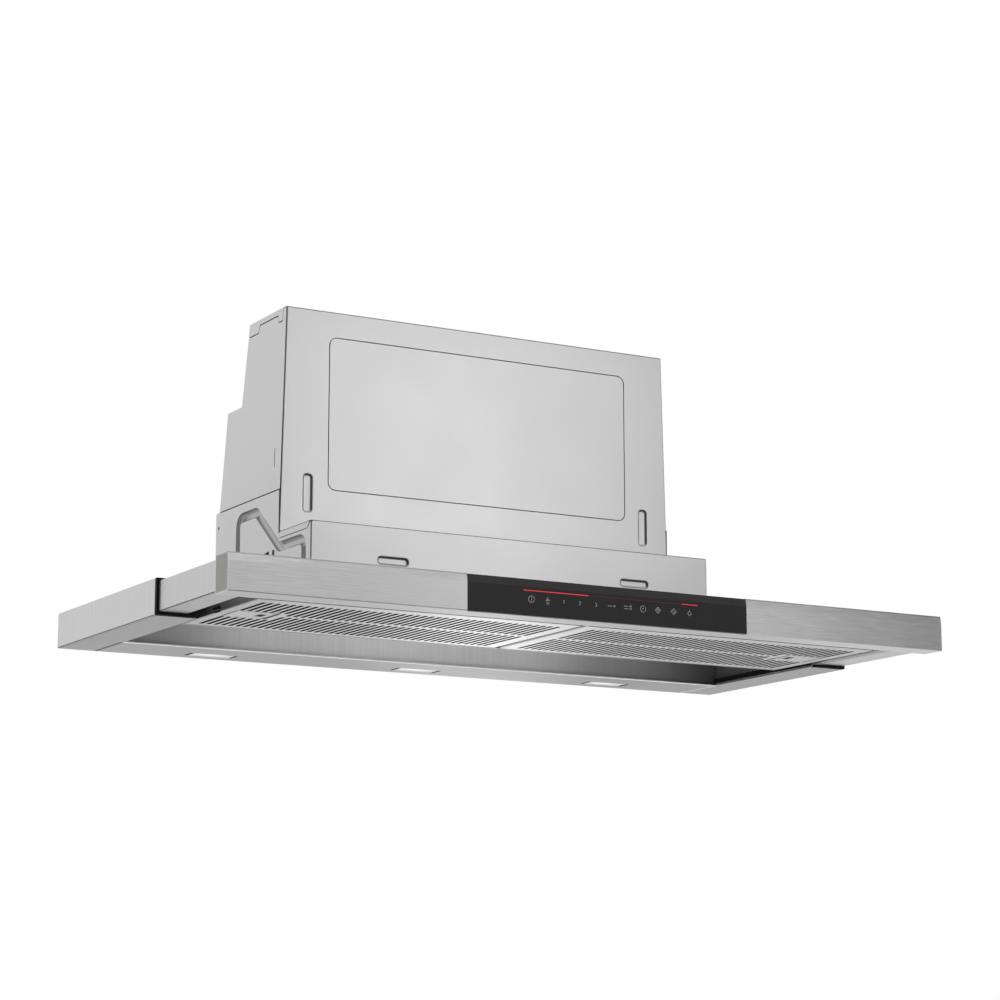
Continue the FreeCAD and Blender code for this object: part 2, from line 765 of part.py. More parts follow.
def bead_path():
    """Middle line of the pressed bead on a lower side panel, as (distance, height) points."""
    return [(bead_rear, bead_foot), (bead_rear, bead_shoulder), (bead_high_rear, bead_high),
            (bead_high_front, bead_high), (bead_low_rear, bead_low), (bead_low_front, bead_low),
            (bead_front, bead_front_shoulder), (bead_front, bead_foot)]


def bead_solid(width, x0, x1):
    """Solid along the bead's path, from x0 to x1, with round corners."""
    runs = []
    path = bead_path()
    for (d0, z0), (d1, z1) in zip(path, path[1:]):
        start = V(x0, y_at(d0), z0)
        end = V(x0, y_at(d1), z1)
        run = end - start
        length = run.Length
        along = V(run).normalize()
        across = along.cross(V(1, 0, 0))
        face = obround((start + end) * 0.5, along, across, length + width, width)
        runs.append(face.extrude(V(x1 - x0, 0, 0)))
    return runs[0].fuse(runs[1:]).removeSplitter()


def make_lower_box():
    front_inner = shelf_front - sheet
    slope_low = shelf_height - shelf_flange
    tail = body_front + 2 * sheet + panel_gap
    nose = front_inner - shelf_flange_slope
    shelf_low = shelf_height - sheet
    outline = [(housing_rear, base_height), (front_inner, base_height), (front_inner, shelf_low - 2 * panel_gap),
               (nose, slope_low - panel_gap), (tail, slope_low - panel_gap), (tail, shelf_low),
               (body_front - sheet, shelf_low), (body_front - sheet, seam_height - panel_gap),
               (housing_rear, seam_height - panel_gap)]
    side = prism_x(outline, housing_inner, housing_half)
    pad = bead_solid(bead_width + 2 * sheet, housing_half - bead_depth - sheet, housing_inner)
    groove = bead_solid(bead_width, housing_half - bead_depth, housing_half + 1)
    side = side.fuse(pad).cut(groove)
    hook_front = hook_slot_from_back - 2 * hook_slot_width
    wedge = [(hook_front - hook_wedge_length, hook_wedge_top), (hook_front, hook_slot_top),
             (hook_front, hook_slot_bottom)]
    cuts = [box(housing_inner - 1, housing_half + 1, hook_slot_from_back - hook_slot_width / 2,
                hook_slot_from_back + hook_slot_width / 2, hook_slot_bottom, hook_slot_top),
            prism_x(wedge, housing_inner - 1, housing_half + 1),
            rod_x(tool_hole_radius, housing_inner - 1, housing_half + 1, tool_hole_from_back, tool_hole_height)]
    for d in (cabinet_hole_rear, cabinet_hole_front):
        cuts.append(rod_x(cabinet_hole_radius, housing_inner - 1, housing_half + 1, d, cabinet_hole_height))
    add_pair("lower_side", side.cut(cuts).removeSplitter())

    front = box(-housing_half, housing_half, front_inner, shelf_front, base_height, shelf_height)
    shelf = box(-housing_half, housing_half, body_front - sheet, front_inner, shelf_low, shelf_height)
    cover = front.fuse(shelf)
    flange_outline = [(tail + panel_gap, shelf_low), (tail + panel_gap, slope_low), (nose, slope_low),
                      (front_inner, shelf_low - panel_gap), (front_inner, shelf_low)]
    flange = prism_x(flange_outline, housing_inner, housing_half)
    cover = cover.fuse([flange, mirrored(flange)])
    inward = V(0, 1, 0)
    for side_sign in (-1, 1):
        center = V(side_sign * front_slot_x, y_at(shelf_front), front_slot_height)
        face = obround(center, V(1, 0, 0), V(0, 0, 1), front_slot_length, front_slot_width)
        grown = obround(center, V(1, 0, 0), V(0, 0, 1), front_slot_length + 2 * sheet, front_slot_width + 2 * sheet)
        cover = pressed(cover, face, grown, inward, press_depth)
    parts["shelf_cover"] = cover.removeSplitter()


def make_front_panel():
    low = shelf_height
    outline = [(-lean_half(low), low), (lean_half(low), low), (lean_half(housing_top), housing_top),
               (-lean_half(housing_top), housing_top)]
    panel = prism_y(outline, body_front - sheet, body_front)
    inward = V(0, 1, 0)
    for side in (-1, 1):
        center = V(side * post_slot_x, y_at(body_front), post_slot_bottom + post_slot_length / 2)
        face = obround(center, V(0, 0, 1), V(1, 0, 0), post_slot_length, post_slot_width)
        grown = obround(center, V(0, 0, 1), V(1, 0, 0), post_slot_length + 2 * sheet, post_slot_width + 2 * sheet)
        panel = pressed(panel, face, grown, inward, press_depth)
    half = press_rect_width / 2
    rims = []
    for grow in (sheet, 0, -press_groove, -press_groove - sheet):
        rims.append(rounded_rectangle(-half - grow, half + grow, press_rect_bottom - grow, press_rect_top + grow,
                                      press_round + grow, body_front))
    depth = press_depth
    pad = rims[0].extrude(inward * (depth + sheet)).cut(rims[3].extrude(inward * (depth + sheet)))
    groove = rims[1].extrude(inward * depth).cut(rims[2].extrude(inward * depth))
    parts["front_panel"] = panel.fuse(pad).cut(groove).removeSplitter()


def rear_line(z):
    """Distance of the housing's rear from the back, above the seam, at a height."""
    if z > step_height:
        share = (z - step_height) / (housing_top - step_height)
        return rear_above_step + (rear_at_top - rear_above_step) * share
    share = (z - seam_height) / (step_height - seam_height)
    return rear_at_seam + (rear_below_step - rear_at_seam) * share


def make_upper_sides():
    top = housing_top - sheet
    tab_low = top - top_tab
    flange_low = top - top_flange
    rear_tab = rear_line(tab_low) + rear_tab_length
    front_tab = body_front - front_tab_from_front
    front_tab_rear = front_tab - front_tab_length
    tabs = [(rear_line(tab_low), tab_low), (rear_tab, tab_low), (rear_tab + tab_slope, flange_low),
            (front_tab_rear - tab_slope, flange_low), (front_tab_rear, tab_low), (front_tab, tab_low),
            (front_tab + tab_slope / 2, top), (rear_line(top), top)]
    g = panel_gap
    outline = [(rear_at_seam, seam_height), (body_front - sheet, seam_height), (body_front - sheet, top - g),
               (front_tab + tab_slope / 2 + g, top - g), (front_tab + g, tab_low - g),
               (front_tab_rear - g, tab_low - g), (front_tab_rear - tab_slope - g, flange_low - g),
               (rear_tab + tab_slope + g, flange_low - g), (rear_tab + g, tab_low - g),
               (rear_line(tab_low - g), tab_low - g), (rear_above_step, step_height), (rear_below_step, step_height)]
    add_pair("upper_side", leaning_plate(outline))
    return leaning_plate(tabs)


def top_screw_places():
    """Places of the screws on the top cover."""
    x = housing_top_width / 2 - 4 * screw_head_radius
    rear = rear_at_top + 3 * screw_head_radius
    front = body_front - 4 * screw_head_radius
    return [V(side * x, y_at(d), housing_top) for side in (-1, 1) for d in (rear, front)]


def make_top_cover(tab):
    half = housing_top_width / 2
    top = housing_top - sheet
    plate = box(-half, half, rear_line(top), body_front - sheet, top, housing_top)
    plate = plate.fuse(box(-tower_half, tower_half, tower_rear, rear_line(top), top, housing_top))
    plate = plate.fuse([tab, mirrored(tab)])
    plate = plate.cut(rod_z(outlet_radius + outlet_ring_wall + panel_gap / 2, top - 1, housing_top + 1,
                            0, outlet_from_back))
    downward = V(0, 0, -1)
    screws = []
    for place in top_screw_places():
        plate = plate.cut(screw_hole(place, downward, sheet))
        screws.append(screw(place, downward))
    parts["top_cover"] = plate.removeSplitter()
    return screws


def rear_screw_places():
    """Places of the screws on the lower part of the rear cover."""
    x = housing_inner - 3 * screw_head_radius
    heights = (base_height + 5 * screw_head_radius, seam_height - 5 * screw_head_radius)
    return [V(side * x, y_at(housing_rear), z) for side in (-1, 1) for z in heights]


def make_rear_cover():
    top = housing_top - sheet
    low = box(-housing_inner, housing_inner, housing_rear, housing_rear + sheet, base_height, seam_height)
    ledge = box(-housing_inner, housing_inner, housing_rear, rear_at_seam + sheet, seam_height - sheet, seam_height)
    line = [(rear_at_seam, seam_height - sheet), (rear_at_seam, seam_height), (rear_below_step, step_height),
            (rear_above_step, step_height), (rear_line(top), top), (rear_line(top) + sheet, top),
            (rear_above_step + sheet, step_height - sheet), (rear_below_step + sheet, step_height - sheet),
            (rear_at_seam + sheet, seam_height - sheet)]
    wing = prism_x(line, tower_half - sheet, housing_half)
    room = prism_y([(0, base_height), (housing_inner, base_height), (lean_half(shelf_height) - sheet, shelf_height),
                    (lean_half(housing_top) - sheet, housing_top), (0, housing_top)], 0, body_front)
    wing = wing.common(room)
    back = box(-tower_half, tower_half, tower_rear, tower_rear + sheet, seam_height - sheet, top)
    cheek_line = [(tower_rear, seam_height - sheet), (tower_rear, top)] + line[5:]
    cheek = prism_x(cheek_line, tower_half - sheet, tower_half)
    cover = low.fuse([ledge, wing, mirrored(wing), back, cheek, mirrored(cheek)])
    cover = cover.cut(rod_y(gland_radius + panel_gap / 2, housing_rear - 1, housing_rear + 2 * sheet,
                            gland_x, gland_height))
    toward_front = V(0, -1, 0)
    screws = []
    for place in rear_screw_places():
        cover = cover.cut(screw_hole(place, toward_front, sheet))
        screws.append(screw(place, toward_front))
    parts["rear_cover"] = cover.removeSplitter()
    return screws


# Fan: scroll, wheel, motor
def scroll_points():
    """Radii and centres of the scroll's three quarter arcs; each one is larger than the last."""
    r1 = wheel_radius + scroll_start_gap
    r2 = r1 + scroll_growth
    r3 = r2 + scroll_growth
    c1 = (fan_from_back, fan_height)
    c2 = (c1[0] + r1 - r2, fan_height)
    c3 = (c2[0], fan_height - r2 + r3)
    return (r1, r2, r3), (c1, c2, c3)


def scroll_edges(x, offset):
    """Edges of the spiral, from the foot of the rear wall round to the tongue."""
    radii, centers = scroll_points()
    starts = (0, -90, -180)
    edges = []
    for radius, (d, z), start in zip(radii, centers, starts):
        r = radius + offset
        arc_points = []
        for turn in (90, 45, 0):
            angle = math.radians(start + turn)
            arc_points.append(V(x, y_at(d + r * math.cos(angle)), z + r * math.sin(angle)))
        edges.append(Part.Arc(*arc_points).toShape())
    return edges


def scroll_outline(x, offset):
    """Closed face of the scroll with its outlet, seen from the side."""
    edges = scroll_edges(x, offset)
    tongue = edges[0].Vertexes[0].Point
    foot = edges[-1].Vertexes[-1].Point
    rear_top = V(x, foot.y, scroll_top)
    front_top = V(x, y_at(scroll_outlet_front + offset), scroll_top)
    edges = edges + [Part.makeLine(foot, rear_top), Part.makeLine(rear_top, front_top),
                     Part.makeLine(front_top, tongue)]
    return Part.Face(Part.Wire(edges))


def make_scroll():
    outer_half = scroll_half_width + scroll_wall
    solid = scroll_outline(-outer_half, scroll_wall).extrude(V(outer_half + scroll_half_width, 0, 0))
    room = scroll_outline(-scroll_half_width, 0).extrude(V(2 * scroll_half_width + 1, 0, 0))
    inlet = rod_x(inlet_radius, -outer_half - 1, -scroll_half_width + 1, fan_from_back, fan_height)
    parts["scroll_housing"] = solid.cut([room, inlet])

    plate = scroll_outline(scroll_half_width, scroll_wall).extrude(V(scroll_wall, 0, 0))
    plate = plate.cut(rod_x(inlet_radius, scroll_half_width - 1, outer_half + 1, fan_from_back, fan_height))
    hub_start = scroll_half_width - motor_seat
    hub = rod_x(motor_hub_radius, hub_start, outer_half, fan_from_back, fan_height)
    arms = []
    for index in range(spider_arms):
        arm = box(scroll_half_width, outer_half, fan_from_back + motor_hub_radius - sheet,
                  fan_from_back + inlet_radius + sheet, fan_height - spider_arm_width / 2,
                  fan_height + spider_arm_width / 2)
        arm.rotate(V(0, y_at(fan_from_back), fan_height), V(1, 0, 0), 360 * index / spider_arms)
        arms.append(arm)
    cover = plate.fuse([hub] + arms)
    bore = rod_x(motor_hub_bore, hub_start - 1, outer_half + 1, fan_from_back, fan_height)
    parts["scroll_cover"] = cover.cut(bore).removeSplitter()


def make_fan():
    motor_end = scroll_half_width - motor_seat
    motor_start = motor_end - motor_length
    can = rod_x(motor_radius, motor_start, motor_end, fan_from_back, fan_height)
    bore = rod_x(shaft_radius + shaft_clearance, motor_start - 1, motor_end + 1, fan_from_back, fan_height)
    parts["motor"] = can.cut(bore)
    parts["motor_shaft"] = rod_x(shaft_radius, -hub_half_width - 2 * sheet, motor_end + 2 * sheet,
                                 fan_from_back, fan_height)
    disc = rod_x(wheel_radius, -sheet, sheet, fan_from_back, fan_height)
    hub = rod_x(hub_radius, -hub_half_width, hub_half_width, fan_from_back, fan_height)
    inner_radius = wheel_radius - blade_depth
    pieces = [hub]
    for side in (-1, 1):
        x0 = min(side * wheel_half_width, side * (wheel_half_width - 2 * sheet))
        ring = rod_x(wheel_radius, x0, x0 + 2 * sheet, fan_from_back, fan_height)
        pieces.append(ring.cut(rod_x(inner_radius, x0 - 1, x0 + 2 * sheet + 1, fan_from_back, fan_height)))
    center = V(0, y_at(fan_from_back), fan_height)
    blade_span = wheel_half_width - sheet
    for index in range(blade_count):
        blade = Part.makeBox(2 * blade_span, blade_sheet, blade_depth - 2 * sheet,
                             V(-blade_span, center.y - blade_sheet / 2, fan_height + inner_radius + sheet))
        middle = V(0, center.y, fan_height + inner_radius + blade_depth / 2)
        blade.rotate(middle, V(1, 0, 0), blade_lean)
        blade.rotate(center, V(1, 0, 0), 360 * index / blade_count)
        pieces.append(blade)
    wheel = disc.fuse(pieces)
    parts["fan_wheel"] = wheel.cut(rod_x(shaft_radius, -wheel_half_width, wheel_half_width, fan_from_back, fan_height))
    parts["motor_capacitor"] = rod_z(capacitor_radius, base_height, base_height + capacitor_length,
                                     -housing_inner + capacitor_radius * 2, housing_rear + capacitor_radius * 3)
    power_x = housing_inner - 2 * capacitor_radius
    power_rear = housing_rear + capacitor_radius
    parts["power_module"] = box(power_x - power_box_length, power_x, power_rear, power_rear + power_box_depth,
                                base_height, base_height + power_box_height)


# Outlet: adapter on the scroll, ring on the top cover, two back-draught flaps on a pin
def make_outlet():
    adapter_top = outlet_ring_top - outlet_ring_length
    inner = outlet_radius - adapter_step
    outer = inner + adapter_wall
    plate = box(-outlet_radius - adapter_plate_margin, outlet_radius + adapter_plate_margin,
                tower_rear + 2 * sheet, body_front - 2 * sheet - press_depth, scroll_top, scroll_top + scroll_wall)
    tube = rod_z(outer, scroll_top, adapter_top, 0, outlet_from_back)
    bore = rod_z(inner, scroll_top - 1, adapter_top + 1, 0, outlet_from_back)
    seat = rod_z(inner + adapter_wall / 2, flap_seat_height, flap_seat_height + flap_seat_thickness,
                 0, outlet_from_back)
    seat = seat.cut(rod_z(inner - flap_seat_width, flap_seat_height - 1,
                          flap_seat_height + flap_seat_thickness + 1, 0, outlet_from_back))
    seat_top = flap_seat_height + flap_seat_thickness
    flap_low = seat_top + panel_gap
    pin_z = flap_low + flap_knuckle_radius
    adapter = plate.fuse(tube).cut(bore).fuse(seat)
    pin_half = outer - panel_gap
    adapter = adapter.cut(rod_x(flap_pin_radius, -outer, outer, outlet_from_back, pin_z))
    parts["outlet_adapter"] = adapter.removeSplitter()
    parts["flap_pin"] = rod_x(flap_pin_radius, -pin_half, pin_half, outlet_from_back, pin_z)
    ring = rod_z(outlet_radius + outlet_ring_wall, adapter_top, outlet_ring_top, 0, outlet_from_back)
    ring = ring.fuse(rod_z(outlet_radius + outlet_flange, housing_top, housing_top + outlet_flange_thickness,
                           0, outlet_from_back))
    ring = ring.cut(rod_z(outlet_radius, adapter_top - 1, outlet_ring_top + 1, 0, outlet_from_back))
    parts["outlet_ring"] = ring.removeSplitter()

    radius = inner - flap_edge_gap
    step = flap_knuckle_length + flap_knuckle_gap
    own_starts = {1: (-2 * step, step), -1: (-step, 2 * step)}
    for sign, name in ((1, "front_flap"), (-1, "rear_flap")):
        disc = rod_z(radius, flap_low, flap_low + flap_thickness, 0, outlet_from_back)
        d0 = outlet_from_back + min(sign * flap_half_gap, sign * 2 * radius)
        d1 = outlet_from_back + max(sign * flap_half_gap, sign * 2 * radius)
        flap = disc.common(box(-radius, radius, d0, d1, flap_low - 1, flap_low + 2 * flap_thickness))
        for start in own_starts[-sign]:
            reach = flap_knuckle_radius + flap_knuckle_gap
            room = box(start - flap_knuckle_gap, start + flap_knuckle_length + flap_knuckle_gap,
                       outlet_from_back - reach, outlet_from_back + reach, flap_low - 1, flap_low + 2 * flap_thickness)
            flap = flap.cut(room)
        for start in own_starts[sign]:
            knuckle = rod_x(flap_knuckle_radius, start, start + flap_knuckle_length, outlet_from_back, pin_z)
            w0 = outlet_from_back + min(0, sign * 2 * flap_knuckle_radius)
            w1 = outlet_from_back + max(0, sign * 2 * flap_knuckle_radius)
            web = box(start, start + flap_knuckle_length, w0, w1, flap_low, flap_low + flap_thickness)
            flap = flap.fuse([knuckle, web])
        bore = rod_x(flap_pin_radius + flap_pin_clearance, -radius, radius, outlet_from_back, pin_z)
        parts[name] = flap.cut(bore).removeSplitter()
    return pin_z


def make_gland():
    front = housing_rear + gland_length - gland_collar_length
    body = rod_y(gland_radius, housing_rear - gland_collar_length, front, gland_x, gland_height)
    collar = rod_y(gland_collar, housing_rear - gland_collar_length, housing_rear, gland_x, gland_height)
    nut = rod_y(gland_collar, housing_rear + sheet, housing_rear + sheet + gland_collar_length, gland_x, gland_height)
    bore = rod_y(gland_bore, 0, front + 1, gland_x, gland_height)
    parts["cable_gland"] = body.fuse([collar, nut]).cut(bore).removeSplitter()


make_base()
make_lamp_strip()
make_recess()
make_bezels()
make_visor(make_strip())
make_tray()
make_filters()
make_rails()
make_lower_box()
make_front_panel()
side_tab = make_upper_sides()
top_screws = make_top_cover(side_tab)
rear_screws = make_rear_cover()
parts["housing_screws"] = Part.makeCompound(top_screws + rear_screws)
make_scroll()
make_fan()
flap_pin_height = make_outlet()
make_gland()

os.makedirs("parts", exist_ok=True)
for name in sorted(parts):
    shape = parts[name]
    shape.exportStep("parts/" + name + ".step")
    print(name, len(shape.Solids), "solids", round(shape.Volume), "mm3", shape.isValid())

print("nodes", len(parts))
print("overall depth", strip_front, "back at y", back_y)
print("slide travel", slide_travel, "cage travel", slide_travel / 2, "latch travel", latch_travel)
print("filter pivot x", pivot_x, "z", pivot_z)
print("fan axis y", y_at(fan_from_back), "z", fan_height)
print("flap pin y", y_at(outlet_from_back), "z", flap_pin_height)
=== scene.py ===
# %% [markdown]
# # A built-in range hood, dressed for its portrait
#
# The hood hangs under a wall cabinet. A flat steel pan holds the lamps, a grey fan housing stands on the
# pan, and a visor with two slotted grease filters slides out at the front. The measured parts are loaded
# first, so that every piece made here is set against real sizes, in metres.

# %% Load the measured parts
import math

import bmesh
import bpy
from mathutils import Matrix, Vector


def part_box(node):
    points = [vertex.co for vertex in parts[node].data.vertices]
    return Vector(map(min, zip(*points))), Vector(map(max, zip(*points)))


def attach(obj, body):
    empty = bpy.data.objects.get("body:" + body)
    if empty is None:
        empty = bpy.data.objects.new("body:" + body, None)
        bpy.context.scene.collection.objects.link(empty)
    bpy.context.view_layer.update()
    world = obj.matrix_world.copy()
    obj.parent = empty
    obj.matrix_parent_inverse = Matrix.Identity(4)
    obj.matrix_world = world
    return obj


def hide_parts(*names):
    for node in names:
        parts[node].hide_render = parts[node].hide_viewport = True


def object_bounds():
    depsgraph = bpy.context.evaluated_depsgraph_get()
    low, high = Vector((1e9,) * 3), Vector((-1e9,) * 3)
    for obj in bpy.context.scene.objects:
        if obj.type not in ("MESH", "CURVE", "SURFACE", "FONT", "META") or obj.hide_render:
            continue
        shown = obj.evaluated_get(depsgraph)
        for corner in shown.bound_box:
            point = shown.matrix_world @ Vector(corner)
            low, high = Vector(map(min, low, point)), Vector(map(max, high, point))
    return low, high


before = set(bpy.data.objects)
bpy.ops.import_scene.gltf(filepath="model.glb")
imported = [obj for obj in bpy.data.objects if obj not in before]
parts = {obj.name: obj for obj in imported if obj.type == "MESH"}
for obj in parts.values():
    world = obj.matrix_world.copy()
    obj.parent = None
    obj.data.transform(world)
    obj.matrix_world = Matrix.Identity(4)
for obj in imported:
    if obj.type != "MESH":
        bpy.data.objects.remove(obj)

cad_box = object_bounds()
mm = 0.001
pairs = ("left_", "right_")


def measured(name):
    """Low and high corner of a measured part, in millimetres."""
    return [[round(v / mm, 2) for v in corner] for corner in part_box(name)]


print("loaded", len(parts), "parts, box", [[round(v, 4) for v in corner] for corner in cad_box])

# %% [markdown]
# ## The camera
#
# The hood is seen from below its front strip and from its left. A long lens keeps the edges nearly
# parallel. The place and the aim come from lining up the corners of the pan, the strip and the housing.

# %% Camera
camera_place = Vector((-1.5369, -2.7207, -0.4330))
camera_yaw = math.radians(29.44)
camera_pitch = math.radians(11.02)
camera_data = bpy.data.cameras.new("portrait_camera")
camera_data.sensor_width = 36.0
camera_data.lens = 98.49
camera_data.clip_end = 100.0
camera = bpy.data.objects.new("portrait_camera", camera_data)
camera.location = camera_place
camera.rotation_mode = "XYZ"
camera.rotation_euler = (math.radians(90.0) + camera_pitch, 0.0, -camera_yaw)
bpy.context.scene.collection.objects.link(camera)
bpy.context.scene.camera = camera
print("camera at", tuple(round(v, 3) for v in camera.location))

# %% [markdown]
# ## The studio
#
# Metal shows what stands round it, so the room matters more than the lamps. The room here is white behind
# the hood and a soft grey in front of it. A large soft lamp hangs above and before the hood, and a narrow
# one stands far to its right. A small one lies low behind the hood, to be mirrored in the underside. The
# floor lies well below, as it does under a hood, and sends pale light up.

# %% Room
scene = bpy.context.scene
scene.view_settings.view_transform = "Standard"
grey_before = -0.35
white_after = 0.25
front_tone = 0.28
back_tone = 1.0

world = bpy.data.worlds.new("white_room")
scene.world = world
world.use_nodes = True
room = world.node_tree
backdrop = room.nodes["Background"]
way = room.nodes.new("ShaderNodeTexCoord")
split = room.nodes.new("ShaderNodeSeparateXYZ")
room.links.new(way.outputs["Generated"], split.inputs["Vector"])
fade = room.nodes.new("ShaderNodeMapRange")
fade.interpolation_type = "SMOOTHSTEP"
fade.inputs["From Min"].default_value = grey_before
fade.inputs["From Max"].default_value = white_after
fade.inputs["To Min"].default_value = front_tone
fade.inputs["To Max"].default_value = back_tone
room.links.new(split.outputs["Y"], fade.inputs["Value"])
room.links.new(fade.outputs["Result"], backdrop.inputs["Color"])
backdrop.inputs["Strength"].default_value = 1.0
print("room goes from", front_tone, "in front to", back_tone, "behind")

# %% Lamps and floor
def soft_lamp(name, place, aim, size, power):
    """Soft lamp that looks at a point."""
    data = bpy.data.lights.new(name, "AREA")
    data.shape = "RECTANGLE"
    data.size = size[0]
    data.size_y = size[1]
    data.energy = power
    lamp = bpy.data.objects.new(name, data)
    lamp.location = place
    lamp.rotation_euler = (Vector(aim) - Vector(place)).to_track_quat("-Z", "Y").to_euler()
    scene.collection.objects.link(lamp)
    return lamp


soft_lamp("front_lamp", place=(2.4, -4.6, 1.2), aim=(0.0, -0.1, 0.15), size=(0.6, 1.6), power=11.0)
soft_lamp("key_lamp", place=(0.5, -2.2, 3.75), aim=(0.0, 0.0, 0.25), size=(4.0, 4.0), power=91.0)
under_lamp = soft_lamp("under_lamp", place=(0.92, 1.7, -0.3), aim=(0.92, 1.7, 1.0), size=(0.3, 0.4),
                       power=1.7)
under_lamp.visible_camera = False

floor_level = -1.1
floor_half = 15.0
floor_mesh = bpy.data.meshes.new("pale_floor")
floor_mesh.from_pydata(
    [(-floor_half, -floor_half, floor_level), (floor_half, -floor_half, floor_level),
     (floor_half, floor_half, floor_level), (-floor_half, floor_half, floor_level)], [], [(0, 1, 2, 3)])
floor = bpy.data.objects.new("pale_floor", floor_mesh)
scene.collection.objects.link(floor)
print("three lamps and the floor are set")

# %% [markdown]
# ## Brushed steel
#
# The pan, the strip and the visor are stainless steel that was drawn past an abrasive belt. The belt leaves
# long scratches in one direction. A noise that is stretched along the grain gives them: it changes the tone,
# the roughness and a very fine bump together, as real scratches do.

# %% Noise on a piece
def start_finish(name):
    """New material with its node tree and its main shader."""
    finish = bpy.data.materials.new(name)
    finish.use_nodes = True
    return finish, finish.node_tree, finish.node_tree.nodes["Principled BSDF"]


def own_place(tree):
    """Place on a piece, in the piece's own metres."""
    return tree.nodes.new("ShaderNodeTexCoord").outputs["Object"]


def even(rate):
    """The same rate along X, Y and Z."""
    return (rate, rate, rate)


def surface_noise(tree, stretch, detail=3.0, rough=0.55):
    """Noise over the piece's own coordinates; stretch is how often it changes in a metre along X, Y and Z."""
    scale = tree.nodes.new("ShaderNodeMapping")
    scale.inputs["Scale"].default_value = stretch
    noise = tree.nodes.new("ShaderNodeTexNoise")
    noise.inputs["Scale"].default_value = 1.0
    noise.inputs["Detail"].default_value = detail
    noise.inputs["Roughness"].default_value = rough
    tree.links.new(own_place(tree), scale.inputs["Vector"])
    tree.links.new(scale.outputs["Vector"], noise.inputs["Vector"])
    return noise.outputs["Fac"]


print("noise is ready")

# %% Tones and numbers from a noise
def tinted(tone, tint=(1.0, 1.0, 1.0)):
    """Grey tone with a tint, as a colour."""
    return tuple(tone * t for t in tint)


def tone_between(tree, factor, dark, light, low=0.3, high=0.7):
    """Colour ramp from a dark tone to a light one."""
    ramp = tree.nodes.new("ShaderNodeValToRGB")
    ramp.color_ramp.elements[0].position = low
    ramp.color_ramp.elements[0].color = (*dark, 1.0)
    ramp.color_ramp.elements[1].position = high
    ramp.color_ramp.elements[1].color = (*light, 1.0)
    tree.links.new(factor, ramp.inputs["Fac"])
    return ramp.outputs["Color"]


def value_between(tree, factor, low, high, start=0.3, end=0.7):
    """Number that goes from low to high as a factor goes from start to end."""
    span = tree.nodes.new("ShaderNodeMapRange")
    span.inputs["From Min"].default_value = start
    span.inputs["From Max"].default_value = end
    span.inputs["To Min"].default_value = low
    span.inputs["To Max"].default_value = high
    tree.links.new(factor, span.inputs["Value"])
    return span.outputs["Result"]


print("tones are ready, half of 0.8 is", tinted(0.8, even(0.5)))

# %% Colour, roughness and relief together
def lay_noise(tree, shader, noise, dark, light, rough):
    """Let one noise change the colour and the roughness of a finish."""
    tree.links.new(tone_between(tree, noise, dark, light), shader.inputs["Base Color"])
    tree.links.new(value_between(tree, noise, *rough), shader.inputs["Roughness"])


def add_bump(tree, shader, height, strength, distance):
    """Fine relief from a noise."""
    bump = tree.nodes.new("ShaderNodeBump")
    bump.inputs["Strength"].default_value = strength
    bump.inputs["Distance"].default_value = distance
    tree.links.new(height, bump.inputs["Height"])
    tree.links.new(bump.outputs["Normal"], shader.inputs["Normal"])


print("noise can change colour, roughness and relief")

# %% Brushed steel
along_x = (14.0, 1100.0, 1100.0)
along_y = (900.0, 3.5, 900.0)
along_z = (950.0, 420.0, 10.0)
strip_grain = (36.0, 1250.0, 1250.0)
scratch_depth = 0.0002


def brushed_steel(name, grain, tone, contrast, rough=(0.3, 0.42), metallic=1.0, groove=0.15):
    """Stainless steel brushed in one direction."""
    finish, tree, shader = start_finish(name)
    scratches = surface_noise(tree, grain, 4.0, 0.65)
    lay_noise(tree, shader, scratches, tinted(tone - contrast), tinted(tone + contrast), rough)
    add_bump(tree, shader, scratches, groove, scratch_depth)
    shader.inputs["Metallic"].default_value = metallic
    return finish


print("steel is brushed with", strip_grain[1], "scratches in a metre on the strip")

# %% [markdown]
# ## Tones that follow a place or a direction
#
# One sheet looks different from place to place, and much of that is painted light: it fades along its length
# as a painted reflection, a joint shows as a line, and a fold gets a painted highlight. Each could be a mesh
# of its own, but a mask in the material keeps the parts whole.
# A mask by direction uses the direction in the piece's own frame, so that it stays when a filter swings.

# %% Masks by place
line_edge = 0.0004
speckle_grain = even(300.0)


def one_axis(tree, vector, axis):
    """One of the three numbers of a vector."""
    split = tree.nodes.new("ShaderNodeSeparateXYZ")
    tree.links.new(vector, split.inputs["Vector"])
    return split.outputs[axis]


def mix_colours(tree, first, second):
    """Mix node of two colours."""
    mix = tree.nodes.new("ShaderNodeMix")
    mix.data_type = "RGBA"
    tree.links.new(first, mix.inputs["A"])
    tree.links.new(second, mix.inputs["B"])
    return mix


def blend(tree, factor, first, second):
    """Colour that goes from one colour to another with a factor."""
    mix = mix_colours(tree, first, second)
    tree.links.new(factor, mix.inputs["Factor"])
    return mix.outputs["Result"]


def shaded(tree, colour, shares):
    """Colour multiplied by shares of it."""
    mix = mix_colours(tree, colour, shares)
    mix.blend_type = "MULTIPLY"
    mix.inputs["Factor"].default_value = 1.0
    return mix.outputs["Result"]


print("colours can be mixed and shaded")

# %% Change the colour of a finish
def colour_of(finish):
    """Node tree of a finish, the socket of its colour, and the colour that comes in there so far."""
    base = finish.node_tree.nodes["Principled BSDF"].inputs["Base Color"]
    return finish.node_tree, base, base.links[0].from_socket


def mottled(tree, tone, spread=0.04, grain=speckle_grain):
    """One tone with a weak mottle."""
    dark = tinted(tone * (1.0 - spread))
    light = tinted(tone * (1.0 + spread))
    return tone_between(tree, surface_noise(tree, grain), dark, light)


print("a mottle changes", speckle_grain[0], "times in a metre")

